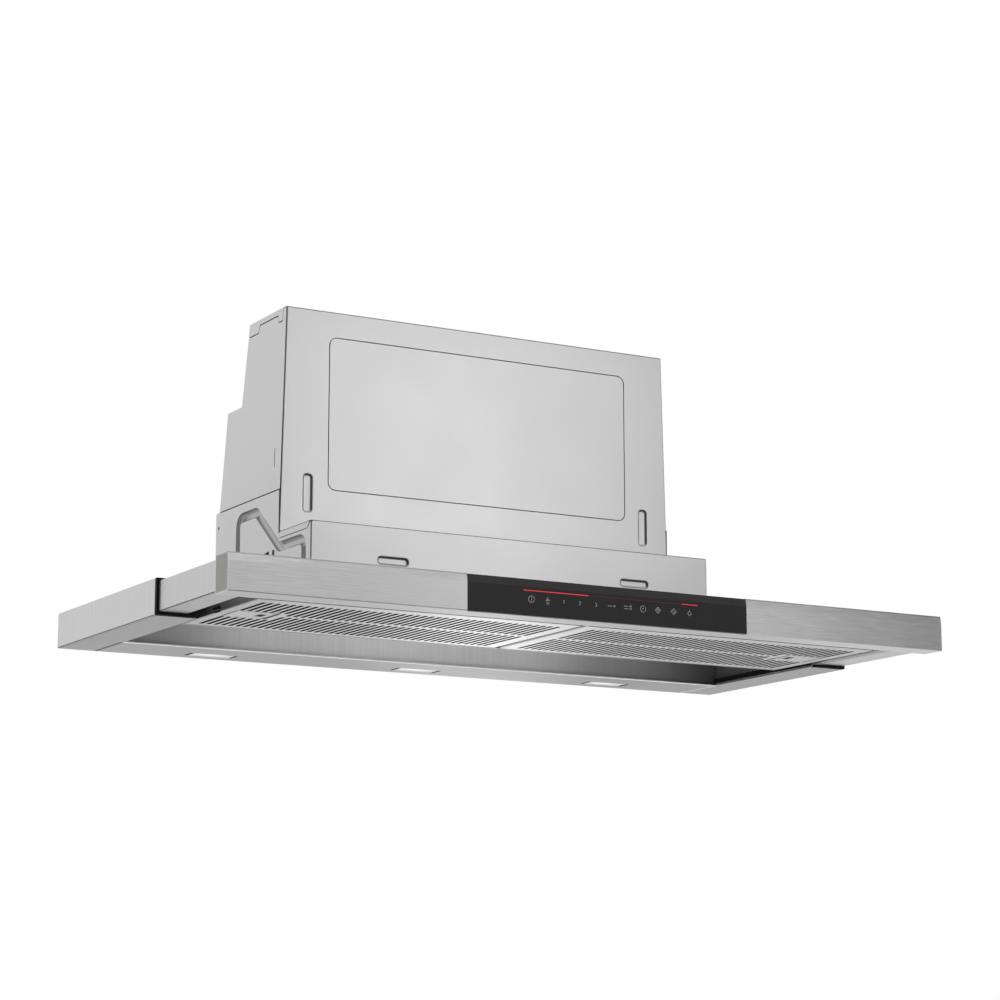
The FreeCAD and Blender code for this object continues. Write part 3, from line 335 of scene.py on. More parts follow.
# %% Fades and joint lines
def shares_along(tree, axis, stops):
    """Grey ramp along an axis; each stop is a place in metres and a share of the tone."""
    first = stops[0][0]
    last = stops[-1][0]
    ramp = tree.nodes.new("ShaderNodeValToRGB")
    ramp.color_ramp.interpolation = "EASE"
    while len(ramp.color_ramp.elements) < len(stops):
        ramp.color_ramp.elements.new(0.5)
    for element, (spot, share) in zip(ramp.color_ramp.elements, stops):
        element.position = (spot - first) / (last - first)
        element.color = (share, share, share, 1.0)
    way_along = value_between(tree, one_axis(tree, own_place(tree), axis), 0.0, 1.0, first, last)
    tree.links.new(way_along, ramp.inputs["Fac"])
    return ramp.outputs["Color"]


def fade_along(finish, axis, stops):
    """Let a finish fade along an axis."""
    tree, base, before = colour_of(finish)
    tree.links.new(shaded(tree, before, shares_along(tree, axis, stops)), base)


def joint_line(finish, low, high, tone, axes=("X", "Y")):
    """Line in a tone of its own from one corner to another along two axes: a joint between sheets, or painted
    shade or a painted highlight along an edge.
    """
    tree, base, before = colour_of(finish)
    masks = []
    for axis, start, end in zip(axes, low, high):
        stops = ((start - line_edge, 0.0), (start, 1.0), (end, 1.0), (end + line_edge, 0.0))
        masks.append(shares_along(tree, axis, stops))
    tree.links.new(blend(tree, shaded(tree, *masks), before, mottled(tree, tone, 0.1)), base)


print("joint lines fade over", line_edge / mm, "mm")

# %% Masks by direction
level_span = (0.6, 0.95)


def own_normal(tree, kind="True Normal"):
    """Direction a face looks in, in the frame of its own piece."""
    facing = tree.nodes.new("ShaderNodeNewGeometry")
    own = tree.nodes.new("ShaderNodeVectorTransform")
    own.vector_type = "NORMAL"
    own.convert_from = "WORLD"
    own.convert_to = "OBJECT"
    tree.links.new(facing.outputs[kind], own.inputs["Vector"])
    return own.outputs["Vector"]


def work_out(tree, operation, *values):
    """Result of a sum on one number or two."""
    node = tree.nodes.new("ShaderNodeMath")
    node.operation = operation
    for value, socket in zip(values, node.inputs):
        tree.links.new(value, socket)
    return node.outputs["Value"]


print("faces between", level_span, "are turning level")

# %% Folds and level faces
def paint_fold_highlight(finish, tone):
    """Paint a highlight on a finish where a fold turns to the front, where the fold catches the light."""
    tree, base, before = colour_of(finish)
    turned = value_between(tree, one_axis(tree, own_normal(tree, "Normal"), "Y"), 0.0, 1.0, -0.3, -0.5)
    tree.links.new(blend(tree, turned, before, mottled(tree, tone, grain=along_x)), base)


def paint_light_by_level(finish, tone, upright_instead=False, stops=None, span=level_span):
    """Paint the level faces of a finish, or the upright ones instead, a tone of their own as painted light
    and shade.
    """
    tree, base, before = colour_of(finish)
    height = work_out(tree, "ABSOLUTE", one_axis(tree, own_normal(tree), "Z"))
    level = value_between(tree, height, 0.0, 1.0, *span)
    other = mottled(tree, tone)
    if stops:
        other = shaded(tree, other, shares_along(tree, "X", stops))
    first, second = (other, before) if upright_instead else (before, other)
    tree.links.new(blend(tree, level, first, second), base)


print("folds and level faces can be finished")

# %% Faces that look one way
def paint_inward_light(finish, tone):
    """Paint the faces that look to the hood's middle a light tone as painted light, and make them less
    metallic.
    """
    tree, base, before = colour_of(finish)
    turn = one_axis(tree, own_normal(tree), "X")
    outward = work_out(tree, "MULTIPLY", turn, one_axis(tree, own_place(tree), "X"))
    inward = value_between(tree, outward, 0.0, 1.0, -0.1, -0.3)
    tree.links.new(blend(tree, inward, before, mottled(tree, tone, grain=along_y)), base)
    dull = value_between(tree, inward, 1.0, 0.1, 0.0, 1.0)
    tree.links.new(dull, tree.nodes["Principled BSDF"].inputs["Metallic"])


def paint_shade_toward(finish, direction, tones, span=(0.1, 0.4)):
    """Paint the faces that look one way darker tones of their own, as painted shade."""
    tree, base, before = colour_of(finish)
    turn = tree.nodes.new("ShaderNodeVectorMath")
    turn.operation = "DOT_PRODUCT"
    turn.inputs[1].default_value = direction
    tree.links.new(own_normal(tree, "Normal"), turn.inputs[0])
    share = value_between(tree, turn.outputs["Value"], 0.0, 1.0, *span)
    other = tone_between(tree, surface_noise(tree, speckle_grain), tinted(tones[0]), tinted(tones[1]))
    tree.links.new(blend(tree, share, before, other), base)


print("masks by direction are ready")

# %% [markdown]
# ## Steel of the visor
#
# The strip is brushed along its length, and painted shade lines run along its top rim and the left part of
# its lower fold. The visor's sides are brushed upright, and their inner faces get painted light. What lies
# level mirrors the room's other half, so it gets a painted tone of its own, and what looks up gets painted
# shade.

# %% Steel of the strip and the visor's sides
up = (0.0, 0.0, 1.0)
top_shade_tones = (0.4, 0.45)
rim_height = 0.0013
rim_fade = 0.0002
rim_shade_share = 0.68
fold_height = 0.0009
fold_end = -0.16
fold_shade_tone = 0.3
strip_light = ((-0.449, 1.0), (-0.29, 0.88), (-0.166, 0.9), (0.244, 0.96), (0.343, 0.83), (0.449, 0.75))
right_highlight = ((-0.449, 0.8), (0.15, 0.8), (0.36, 1.0), (0.449, 1.0))

strip_low, strip_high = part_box("front_strip")
rim_start = strip_high[2] - rim_height
strip_steel = brushed_steel("strip_steel", strip_grain, tone=0.64, contrast=0.09, groove=0.06)
# painted reflection: the strip is lighter at its left end and darker towards the right
fade_along(strip_steel, "X", strip_light)
# painted shade: a darker band along the top rim, where the strip meets the housing
fade_along(strip_steel, "Z", ((strip_low[2], 1.0), (rim_start - rim_fade, 1.0), (rim_start, rim_shade_share),
                              (strip_high[2], rim_shade_share)))
# painted shade: a dark line along the lower fold over the left part of the strip
joint_line(strip_steel, (strip_low[0], strip_low[2]), (fold_end, strip_low[2] + fold_height), fold_shade_tone,
           axes=("X", "Z"))
# painted light on the level faces, brighter to the right as a painted highlight
paint_light_by_level(strip_steel, 0.78, stops=right_highlight)
# painted shade on the faces that look up
paint_shade_toward(strip_steel, up, top_shade_tones, level_span)

visor_steel = brushed_steel("visor_steel", along_z, tone=0.53, contrast=0.045)
# painted light on the level faces, brighter to the right as a painted highlight
paint_light_by_level(visor_steel, 0.7, stops=right_highlight)
# painted shade on the faces that look up
paint_shade_toward(visor_steel, up, top_shade_tones, level_span)
# painted light on the inward faces, which look into the lit channel
paint_inward_light(visor_steel, 0.92)
print("strip rim starts", round(rim_start / mm, 2), "mm up")

# %% [markdown]
# ## Steel of the pan
#
# The pan's underside takes its light from the floor, so it is darker and fades where the visor shades it.
# The recess that the visor slides into is plain sheet, lit only through its mouth. The frames at its ends
# meet the lamp strip, and the joint is painted as a line of shade at the left and a highlight at the right.

# %% Steel of the pan and the tray
underside_light = ((-0.448, 1.0), (-0.1, 0.95), (0.0, 0.86), (0.075, 0.65), (0.226, 0.66), (0.261, 0.72),
                   (0.35, 0.87), (0.448, 0.87))
recess_light = ((0.0, 1.0), (0.0048, 1.0), (0.0056, 0.25), (0.04, 0.25))
rear_wall_light = ((-0.42, 0.37), (-0.2, 0.9), (-0.08, 1.0), (0.1, 0.87), (0.25, 0.45), (0.4, 0.17))
channel_light = ((-0.2, 0.7), (-0.152, 0.5), (-0.11, 0.3), (-0.068, 0.16), (-0.05, 0.06))
joint_end = 0.401
joint_front = 0.156
joint_back = 0.241
joint_shade_width = 0.0038
joint_highlight_width = 0.0036
plain_rough = (0.35, 0.5)

upright_steel = brushed_steel("upright_steel", along_z, tone=0.56, contrast=0.05)
underside_steel = brushed_steel("underside_steel", along_x, tone=0.487, contrast=0.015)
fade_along(underside_steel, "X", underside_light)
# painted highlight on the front fold of the lamp strip
paint_fold_highlight(underside_steel, 0.98)
frame_steel = brushed_steel("frame_steel", along_y, tone=0.44, contrast=0.015)
# painted shade on the left joint and a painted highlight on the right one
joint_line(frame_steel, (-joint_end - joint_shade_width, joint_front), (-joint_end, joint_back), tone=0.02)
joint_line(frame_steel, (joint_end, joint_front), (joint_end + joint_highlight_width, joint_back), tone=0.9)
recess_steel = brushed_steel("recess_steel", along_z, tone=0.8, contrast=0.12, rough=plain_rough,
                             metallic=0.4)
fade_along(recess_steel, "Z", recess_light)
rear_wall_steel = brushed_steel("rear_wall_steel", along_z, tone=0.93, contrast=0.06, rough=plain_rough,
                                metallic=0.55)
# painted light: the rear wall is brightest a little left of its middle and darker towards both ends
fade_along(rear_wall_steel, "X", rear_wall_light)
channel_steel = brushed_steel("channel_steel", along_y, tone=0.36, contrast=0.14, rough=(0.5, 0.65),
                              metallic=0.2)
# painted shade in the channel, nearly black towards its rear and lighter towards the front
fade_along(channel_steel, "Y", channel_light)
# painted light on the channel's level faces
paint_light_by_level(channel_steel, 0.6)
bar_steel = brushed_steel("bar_steel", along_x, tone=0.34, contrast=0.015)
print("underside fades to", min(share for spot, share in underside_light), "of its tone")

# %% [markdown]
# ## Grey housing sheet
#
# The housing is hidden in the cabinet, so it is plain zinc-coated sheet with a satin surface. It has no
# grain. A faint cloud in tone and gloss keeps the large panels from looking painted by a computer.

# %% Housing sheet
slot_shade = (-0.6, 0.0, -0.8)


def satin_sheet(name, tone, metallic, rough=(0.42, 0.48)):
    """Smooth satin sheet with a faint cloud."""
    finish, tree, shader = start_finish(name)
    cloud = surface_noise(tree, even(9.0), detail=2.0)
    lay_noise(tree, shader, cloud, tinted(tone * 0.985), tinted(tone * 1.015), rough)
    add_bump(tree, shader, surface_noise(tree, even(1400.0), detail=2.0), 0.05, 0.0001)
    shader.inputs["Metallic"].default_value = metallic
    return finish


housing_sheet = satin_sheet("housing_sheet", tone=0.7, metallic=0.3)
housing_front = satin_sheet("housing_front", tone=0.72, metallic=0.6, rough=(0.3, 0.34))
# the next finish is painted shade for rolled edges and the seams between sheets
sheet_edge = satin_sheet("sheet_edge", tone=0.12, metallic=0.1, rough=(0.6, 0.7))
# painted shade for the walls and floors of beads and grooves
pressed_sheet = satin_sheet("pressed_sheet", tone=0.44, metallic=0.85, rough=(0.32, 0.38))
# painted shade for the walls of the slots, darkest where they look down and to the left
slot_sheet = satin_sheet("slot_sheet", tone=0.4, metallic=0.3)
paint_shade_toward(slot_sheet, slot_shade, tones=(0.09, 0.11))
print("slots are dark where they look to", slot_shade)

# %% [markdown]
# ## Plastic, paint and plated metal
#
# Moulded plastic has the fine eroded skin of its mould, and paint on the end caps looks much the same. The
# rails, screws and shafts are plated, with small cloudy changes in tone and no grain.

# %% Plastic and plain metal
def moulded_plastic(name, dark, light, rough=(0.4, 0.55), gloss=0.5):
    """Moulded plastic with a fine eroded texture."""
    finish, tree, shader = start_finish(name)
    pores = surface_noise(tree, even(1600.0))
    lay_noise(tree, shader, pores, dark, light, rough)
    add_bump(tree, shader, pores, 0.2, 0.0001)
    shader.inputs["Specular IOR Level"].default_value = gloss
    return finish


def plain_metal(name, tone, rough=(0.3, 0.4), tint=(1.0, 1.0, 1.0)):
    """Plated or bare metal with small cloudy changes."""
    finish, tree, shader = start_finish(name)
    cloud = surface_noise(tree, even(160.0))
    lay_noise(tree, shader, cloud, tinted(tone * 0.94, tint), tinted(tone * 1.06, tint), rough)
    shader.inputs["Metallic"].default_value = 1.0
    return finish


print("plastic and plate can be mixed")

# %% Plastics, paints and plate
cap_paint = moulded_plastic("cap_paint", (0.385, 0.38, 0.363), (0.415, 0.41, 0.393), (0.5, 0.6), gloss=0.06)
# painted shade on the cap's level faces
paint_light_by_level(cap_paint, 0.3)
black_plastic = moulded_plastic("black_plastic", (0.006, 0.006, 0.007), (0.01, 0.01, 0.011), (0.5, 0.65),
                                gloss=0.08)
grey_plastic = moulded_plastic("grey_plastic", (0.36, 0.37, 0.38), (0.4, 0.41, 0.42))
zinc_plate = plain_metal("zinc_plate", 0.55, (0.25, 0.4), (0.97, 0.99, 1.03))
motor_paint = moulded_plastic("motor_paint", (0.03, 0.03, 0.033), (0.045, 0.045, 0.05), (0.3, 0.4))
board_lacquer = moulded_plastic("board_lacquer", (0.01, 0.09, 0.04), (0.015, 0.13, 0.06), (0.25, 0.35))
print("plastics, paints and plate are mixed")

# %% [markdown]
# ## Filters and latches
#
# A filter is a tray of bright aluminium with rows of slots, and dark mesh lies behind the slots. The slots'
# walls see no light, so every upright face is nearly black. The plate of a latch lies flush in the tray and
# shows by the line before it. From above, the mesh is seen as crossed wires.

# %% Sizes of the latches and the mesh
slot_wall_tone = 0.02
plate_half_depth = 0.02
plate_ends = {"left_": (-0.377, -0.333), "right_": (0.333, 0.377)}
plate_line = 0.0027
tongue_root = 0.3895
tongue_shade = 0.3905
tongue_tip = 0.396
tongue_share = 0.14
wire_pitch = 0.005
wire_tones = (0.05, 0.55)
filter_light = ((-0.39, 0.66), (-0.375, 0.7), (-0.36, 0.83), (-0.22, 0.88), (-0.12, 0.98), (0.0, 0.98),
                (0.1, 0.88), (0.25, 0.82), (0.39, 0.8))


print("plates are marked by a line of", plate_line / mm, "mm")

# %% Mesh of crossed wires
def weave_back(finish, pitch, tones):
    """Crossed wires on the upper side of a mesh."""
    tree, base, before = colour_of(finish)
    slant = tree.nodes.new("ShaderNodeMapping")
    slant.inputs["Rotation"].default_value = (0.0, 0.0, math.radians(45.0))
    slant.inputs["Scale"].default_value = (math.pi / pitch, math.pi / pitch, 1.0)
    tree.links.new(own_place(tree), slant.inputs["Vector"])
    ridges = []
    for axis in ("X", "Y"):
        wave = work_out(tree, "SINE", one_axis(tree, slant.outputs["Vector"], axis))
        ridges.append(work_out(tree, "ABSOLUTE", wave))
    crossed = work_out(tree, "MAXIMUM", *ridges)
    wires = tone_between(tree, crossed, tinted(tones[0]), tinted(tones[1]), 0.8, 0.95)
    back = value_between(tree, one_axis(tree, own_normal(tree), "Z"), 0.0, 1.0, 0.5, 0.8)
    tree.links.new(blend(tree, back, before, wires), base)


print("wires lie", wire_pitch / mm, "mm apart")

# %% Metal of the filters and latches
filter_aluminium = plain_metal("filter_aluminium", 0.84, (0.26, 0.34))
# painted highlight: the filters are brightest in the middle and darker towards their ends
fade_along(filter_aluminium, "X", filter_light)
paint_light_by_level(filter_aluminium, slot_wall_tone, upright_instead=True)
for side in pairs:
    latch_low, latch_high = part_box(side + "filter_latch")
    plate_front = (latch_low[1] + latch_high[1]) / 2.0 - plate_half_depth
    near, far = plate_ends[side]
    joint_line(filter_aluminium, (near, plate_front - plate_line), (far, plate_front), slot_wall_tone)
latch_metal = plain_metal("latch_metal", 0.66, (0.26, 0.34))
# painted shade on the latch's tongue beyond the plate, where it lies in the gap
fade_along(latch_metal, "X", ((-tongue_tip, tongue_share), (-tongue_shade, tongue_share), (-tongue_root, 1.0),
                              (tongue_root, 1.0), (tongue_shade, tongue_share), (tongue_tip, tongue_share)))
mesh_aluminium = moulded_plastic("mesh_aluminium", tinted(0.006), tinted(0.014), (0.8, 0.95), gloss=0.02)
weave_back(mesh_aluminium, wire_pitch, wire_tones)
print("latch plates start", round(plate_front / mm, 1), "mm from the middle")

# %% [markdown]
# ## Black glass and lamp lenses
#
# The touch field is a pane of glass, lacquered black on its back. From the front only a clean reflection
# shows. A hint of smears in the roughness is what tells the eye that it is glass and not a hole. A lamp
# lens is frosted, and the lit chip behind it makes its middle the brightest.

# %% Black glass
def black_glass(name):
    """Glossy black pane with faint smears."""
    finish, tree, shader = start_finish(name)
    smears = surface_noise(tree, (30.0, 30.0, 60.0), detail=4.0)
    lay_noise(tree, shader, smears, tinted(0.028), tinted(0.033), (0.26, 0.36))
    shader.inputs["Specular IOR Level"].default_value = 0.06
    return finish


print("glass is ready")

# %% Frosted lens
def frosted_lens(name):
    """Frosted lamp lens that glows in its middle."""
    finish, tree, shader = start_finish(name)
    place = tree.nodes.new("ShaderNodeTexCoord")
    centre = tree.nodes.new("ShaderNodeMapping")
    centre.inputs["Location"].default_value = (-1.0, -1.0, 0.0)
    centre.inputs["Scale"].default_value = (2.0, 2.0, 0.0)
    glow = tree.nodes.new("ShaderNodeTexGradient")
    glow.gradient_type = "SPHERICAL"
    tree.links.new(place.outputs["Generated"], centre.inputs["Vector"])
    tree.links.new(centre.outputs["Vector"], glow.inputs["Vector"])
    frost = surface_noise(tree, even(900.0), detail=2.0)
    tree.links.new(tone_between(tree, frost, tinted(0.56), tinted(0.62)), shader.inputs["Base Color"])
    light = tone_between(tree, glow.outputs["Fac"], tinted(0.42), tinted(1.0), 0.3, 0.85)
    tree.links.new(light, shader.inputs["Emission Color"])
    shader.inputs["Emission Strength"].default_value = 0.5
    shader.inputs["Roughness"].default_value = 0.35
    return finish


print("lens is ready")

# %% Glass and lenses of the hood
control_glass = black_glass("control_glass")
# painted light: faces of the glass that turn away from upright get a lighter tone
paint_light_by_level(control_glass, 0.07, span=(0.1, 0.3))
lamp_lens = frosted_lens("lamp_lens")
print(len(bpy.data.materials), "finishes so far")

# %% [markdown]
# ## The floor's finish
#
# The floor is plain and pale. A slow cloud and a fine speckle, both very weak, keep it from looking like
# an empty page, and it stays matt so that only the hood's soft shadow falls on it. Its back is clear, so
# that the hood's underside can be looked at from below the floor.

# %% Floor finish
floor_finish, floor_tree, floor_shader = start_finish("floor_finish")
floor_cloud = surface_noise(floor_tree, even(0.6), detail=2.0)
floor_speckle = surface_noise(floor_tree, even(90.0))
floor_tone = tone_between(floor_tree, floor_cloud, tinted(0.84), tinted(0.87))
floor_tree.links.new(floor_tone, floor_shader.inputs["Base Color"])
floor_tree.links.new(value_between(floor_tree, floor_speckle, 0.7, 0.85), floor_shader.inputs["Roughness"])
add_bump(floor_tree, floor_shader, floor_speckle, 0.03, 0.001)
floor_shader.inputs["Specular IOR Level"].default_value = 0.15
floor_side = floor_tree.nodes.new("ShaderNodeNewGeometry")
from_below = floor_tree.nodes.new("ShaderNodeBsdfTransparent")
one_way = floor_tree.nodes.new("ShaderNodeMixShader")
floor_tree.links.new(floor_side.outputs["Backfacing"], one_way.inputs["Fac"])
floor_tree.links.new(floor_shader.outputs["BSDF"], one_way.inputs[1])
floor_tree.links.new(from_below.outputs["BSDF"], one_way.inputs[2])
floor_tree.links.new(one_way.outputs["Shader"], floor_tree.nodes["Material Output"].inputs["Surface"])
floor.data.materials.append(floor_finish)
print("floor is", 2.0 * floor_half, "m wide and clear from below")

# %% [markdown]
# ## Give every measured part its finish
#
# The parts keep their shapes. Each one gets the finish of the real piece, by name, so that nothing is left
# with the plain grey it was loaded with.

# %% Finishes by part
finish_of_pair = {"side_panel": upright_steel, "visor_side": visor_steel, "bottom_frame": frame_steel,
                  "recess_wall": recess_steel, "tray_wall": channel_steel, "end_cap": cap_paint,
                  "lower_side": housing_sheet, "upper_side": housing_sheet, "filter_frame": filter_aluminium,
                  "filter_latch": latch_metal, "filter_mesh": mesh_aluminium, "lamp_lens": lamp_lens}
finish_of = {"center_lamp_lens": lamp_lens, "front_strip": strip_steel, "lamp_strip": underside_steel,
             "recess_rear_wall": rear_wall_steel, "control_glass": control_glass,
             "control_board": board_lacquer, "motor": motor_paint}
parts_of = (
    (bar_steel, ("visor_front_bar", "tray_cover", "tray_rear_bar")),
    (housing_sheet, ("base_rear_panel", "base_top_plate", "shelf_cover", "front_panel", "top_cover",
                     "rear_cover")),
    (zinc_plate, ("outer_rails", "inner_rails", "ball_cages", "housing_screws", "visor_screws", "flap_pin",
                  "motor_shaft")),
    (black_plastic, ("guide_strips", "edge_bezels", "cable_gland", "outlet_ring", "outlet_adapter",
                     "front_flap", "rear_flap", "motor_capacitor")),
    (grey_plastic, ("scroll_housing", "scroll_cover", "fan_wheel", "lamp_modules", "power_module")))
for side in pairs:
    for name, finish in finish_of_pair.items():
        finish_of[side + name] = finish
for finish, names in parts_of:
    for name in names:
        finish_of[name] = finish
for name, part in parts.items():
    part.data.materials.clear()
    part.data.materials.append(finish_of[name])
print("dressed", len(finish_of), "of", len(parts), "parts")

# %% [markdown]
# ## Pressed sheet
#
# The housing is folded from thin sheet. Beads and slots are pressed into it, so that large panels don't
# drum. Such a press could be carved with a boolean, but rings are cleaner: the outline of the press is
# drawn again and again, each time a little smaller and deeper, and faces join one ring to the next. The
# flat sheet round it is filled in last, and a thickness is added behind everything.

# %% Outlines
near_half = 0.48


def rounded_box(low, high, radius, grow=0.0, steps=5):
    """Closed outline of a rectangle with round corners, grown by a distance."""
    corners = ((high[0] - radius, high[1] - radius), (low[0] + radius, high[1] - radius),
               (low[0] + radius, low[1] + radius), (high[0] - radius, low[1] + radius))
    outline = []
    for quarter, corner in enumerate(corners):
        for step in range(steps + 1):
            angle = math.radians(90.0 * (quarter + step / steps))
            outline.append(Vector((corner[0] + (radius + grow) * math.cos(angle),
                                   corner[1] + (radius + grow) * math.sin(angle))))
    return outline


print("a rounded box has", len(rounded_box((0.0, 0.0), (2.0, 2.0), 0.5)), "points")

# %% Lines and bands
def rounded_line(corners, radius, steps=6):
    """Open line through corners that are each drawn round."""
    corners = [Vector(corner) for corner in corners]
    line = [corners[0]]
    for before, corner, after in zip(corners, corners[1:], corners[2:]):
        back = before - corner
        on = after - corner
        reach = radius / math.tan(back.angle(on) / 2.0)
        reach = min(reach, near_half * back.length, near_half * on.length)
        start = corner + back.normalized() * reach
        end = corner + on.normalized() * reach
        for step in range(steps + 1):
            t = step / steps
            line.append((1.0 - t) ** 2 * start + 2.0 * t * (1.0 - t) * corner + t ** 2 * end)
    line.append(corners[-1])
    return line


def band(line, half, steps=6):
    """Closed outline at one distance round an open line."""
    left = []
    right = []
    for index, point in enumerate(line):
        along = line[min(index + 1, len(line) - 1)] - line[max(index - 1, 0)]
        across = Vector((-along.y, along.x)).normalized() * half
        left.append(point + across)
        right.append(point - across)
    caps = []
    for centre, arm in ((line[-1], left[-1] - line[-1]), (line[0], right[0] - line[0])):
        cap = []
        for step in range(1, steps):
            turn = -math.pi * step / steps
            cap.append(centre + Vector((arm.x * math.cos(turn) - arm.y * math.sin(turn),
                                        arm.x * math.sin(turn) + arm.y * math.cos(turn))))
        caps.append(cap)
    return left + caps[0] + right[::-1] + caps[1]


print("a bend takes", near_half, "of an edge at most")

# %% Edges moved inward
def inset(corners, distance):
    """Outline of straight edges moved inward by a distance; the corners run anticlockwise."""
    moved = []
    corners = [Vector(corner) for corner in corners]
    for index, corner in enumerate(corners):
        into = (corner - corners[index - 1]).normalized()
        on = (corners[(index + 1) % len(corners)] - corner).normalized()
        bisector = Vector((-into.y, into.x)) + Vector((-on.y, on.x))
        moved.append(corner + bisector * (2.0 * distance / bisector.length_squared))
    return moved


print("outline tools are ready")

# %% Draw a sheet with presses
fine_roll = ((0.0, 0.6), (0.12, 0.15), (0.5, 0.0))
wide_roll = ((0.0, 0.7), (0.2, 0.25), (0.95, 0.0))
# edge and press faces take finishes of painted shade
flat_face, edge_shade_face, press_shade_face, flange_face, slot_face = range(5)
front_finishes = (housing_front, sheet_edge, pressed_sheet, housing_sheet, slot_sheet)
side_finishes = (housing_sheet, sheet_edge, pressed_sheet)


def add_sheet(shape, corners, presses, openings, place, outward, roll=fine_roll, flat=flat_face):
    """Flat sheet with rolled edges. A press is a family of outlines, a profile of (grow, depth) steps and the
    kinds of face on its lip, wall and floor."""
    rings = []
    faces = []

    def ring_at(outline, depth):
        return [shape.verts.new(Vector(place(point[0], point[1], depth)) * mm) for point in outline]

    def join(first, second, kind):
        for index in range(len(first)):
            after = (index + 1) % len(first)
            face = shape.faces.new((first[index], first[after], second[after], second[index]))
            face.material_index = kind
            faces.append(face)

    turns = [ring_at(inset(corners, distance), depth) for distance, depth in roll]
    join(turns[0], turns[1], edge_shade_face)
    join(turns[1], turns[2], edge_shade_face if roll is wide_roll else flat)
    rings.append(turns[2])
    for family, profile, (lip_kind, wall_kind, floor_kind) in presses:
        steps = [ring_at(family(grow), depth) for grow, depth in profile]
        join(steps[0], steps[1], flat)
        join(steps[1], steps[2], lip_kind)
        for first, second in zip(steps[2:], steps[3:]):
            join(first, second, wall_kind)
        press_floor = shape.faces.new(steps[-1])
        press_floor.material_index = floor_kind
        faces.append(press_floor)
        rings.append(steps[0])
    for outline in openings:
        rings.append(ring_at(outline, 0.0))
    edges = []
    for ring in rings:
        for index, vert in enumerate(ring):
            after = ring[(index + 1) % len(ring)]
            edges.append(shape.edges.get((vert, after)) or shape.edges.new((vert, after)))
    filled = bmesh.ops.triangle_fill(shape, use_beauty=True, use_dissolve=False, edges=edges)
    for face in filled["geom"]:
        if isinstance(face, bmesh.types.BMFace):
            face.material_index = flat
            faces.append(face)
    bmesh.ops.recalc_face_normals(shape, faces=faces)
    facing = sum((face.normal * face.calc_area() for face in faces), Vector())
    if facing.dot(Vector(outward)) < 0.0:
        bmesh.ops.reverse_faces(shape, faces=faces)


print("a rolled edge is", wide_roll[-1][0], "mm wide on the front and", fine_roll[-1][0], "mm at the sides")

# %% Turn drawn shapes into pieces
sheet_thickness = 0.6
sharp_bend = math.radians(50.0)


def new_piece(shape, name, finishes):
    """Piece from a drawn shape, with its finishes."""
    mesh = bpy.data.meshes.new(name)
    shape.to_mesh(mesh)
    shape.free()
    for finish in finishes:
        mesh.materials.append(finish)
    piece = bpy.data.objects.new(name, mesh)
    scene.collection.objects.link(piece)
    return piece


def thicken(piece, name, thickness, offset):
    """Give a drawn skin a thickness, behind it or before it."""
    wall = piece.modifiers.new(name, "SOLIDIFY")
    wall.thickness = thickness * mm
    wall.offset = offset


def hang_sheet(shape, part, finishes):
    """Turn drawn sheets into a piece with smooth bends that takes the place of a measured part."""
    piece = new_piece(shape, part + "_sheet", finishes)
    piece.data.polygons.foreach_set("use_smooth", [True] * len(piece.data.polygons))
    piece.data.set_sharp_from_angle(angle=sharp_bend)
    thicken(piece, "thickness", sheet_thickness, -1.0)
    piece.modifiers.new("shading", "WEIGHTED_NORMAL").keep_sharp = True
    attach(piece, "chassis")
    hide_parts(part)
    print(piece.name, len(piece.data.polygons), "faces")


print("sheets are", sheet_thickness, "mm thick")

# %% [markdown]
# ## Front panel of the housing
#
# The front panel leans nowhere: it is one upright sheet that narrows towards the top. A thin groove is
# pressed round a large rectangle, and a tall slot with a flat floor stands at each side.

# %% Front panel
back_y = round(cad_box[1][1] / mm, 2)
front_low, front_high = measured("front_panel")
panel_front = back_y - front_low[1]
panel_low = front_low[2]
panel_high = front_high[2]
half_low = front_high[0]
half_high = 255.0
seam = 0.6
groove_half = 200.5
groove_low = 176.0
groove_high = 357.0
groove_radius = 10.0
tall_slot_middle = 225.5
tall_slot_half = 6.0
tall_slot_low = 148.0
tall_slot_high = 193.0
tall_slot_radius = 4.5


print("front panel is", 2.0 * half_low, "mm wide at its foot and", 2.0 * half_high, "mm at its top")

# %% Presses of the front
def front_plane(distance):
    """Place on an upright sheet that faces the front, this far before the hood's back."""
    return lambda x, z, depth: (x, back_y - distance + depth, z)


def slot_press(middle, half, low, high, radius):
    """Slot with a flat floor and a rounded wall."""
    profile = ((1.3, 0.0), (0.2, 0.0), (-0.15, 0.3), (-0.7, 1.5), (-1.5, 2.3), (-2.3, 2.5))
    corners = ((middle - half, low), (middle + half, high))
    kinds = (edge_shade_face, slot_face, flat_face)
    return (lambda grow: rounded_box(*corners, radius, grow)), profile, kinds


def groove_press(half, low, high, radius):
    """Thin groove round a rectangle."""
    profile = ((1.2, 0.0), (0.0, 0.0), (-0.1, 0.3), (-0.15, 3.0), (-1.0, 3.0), (-1.05, 0.4), (-1.2, 0.0))
    corners = ((-half, low), (half, high))
    kinds = (press_shade_face, press_shade_face, flat_face)
    return (lambda grow: rounded_box(*corners, radius, grow)), profile, kinds


print("the panel's groove is", 2.0 * groove_half, "mm wide")

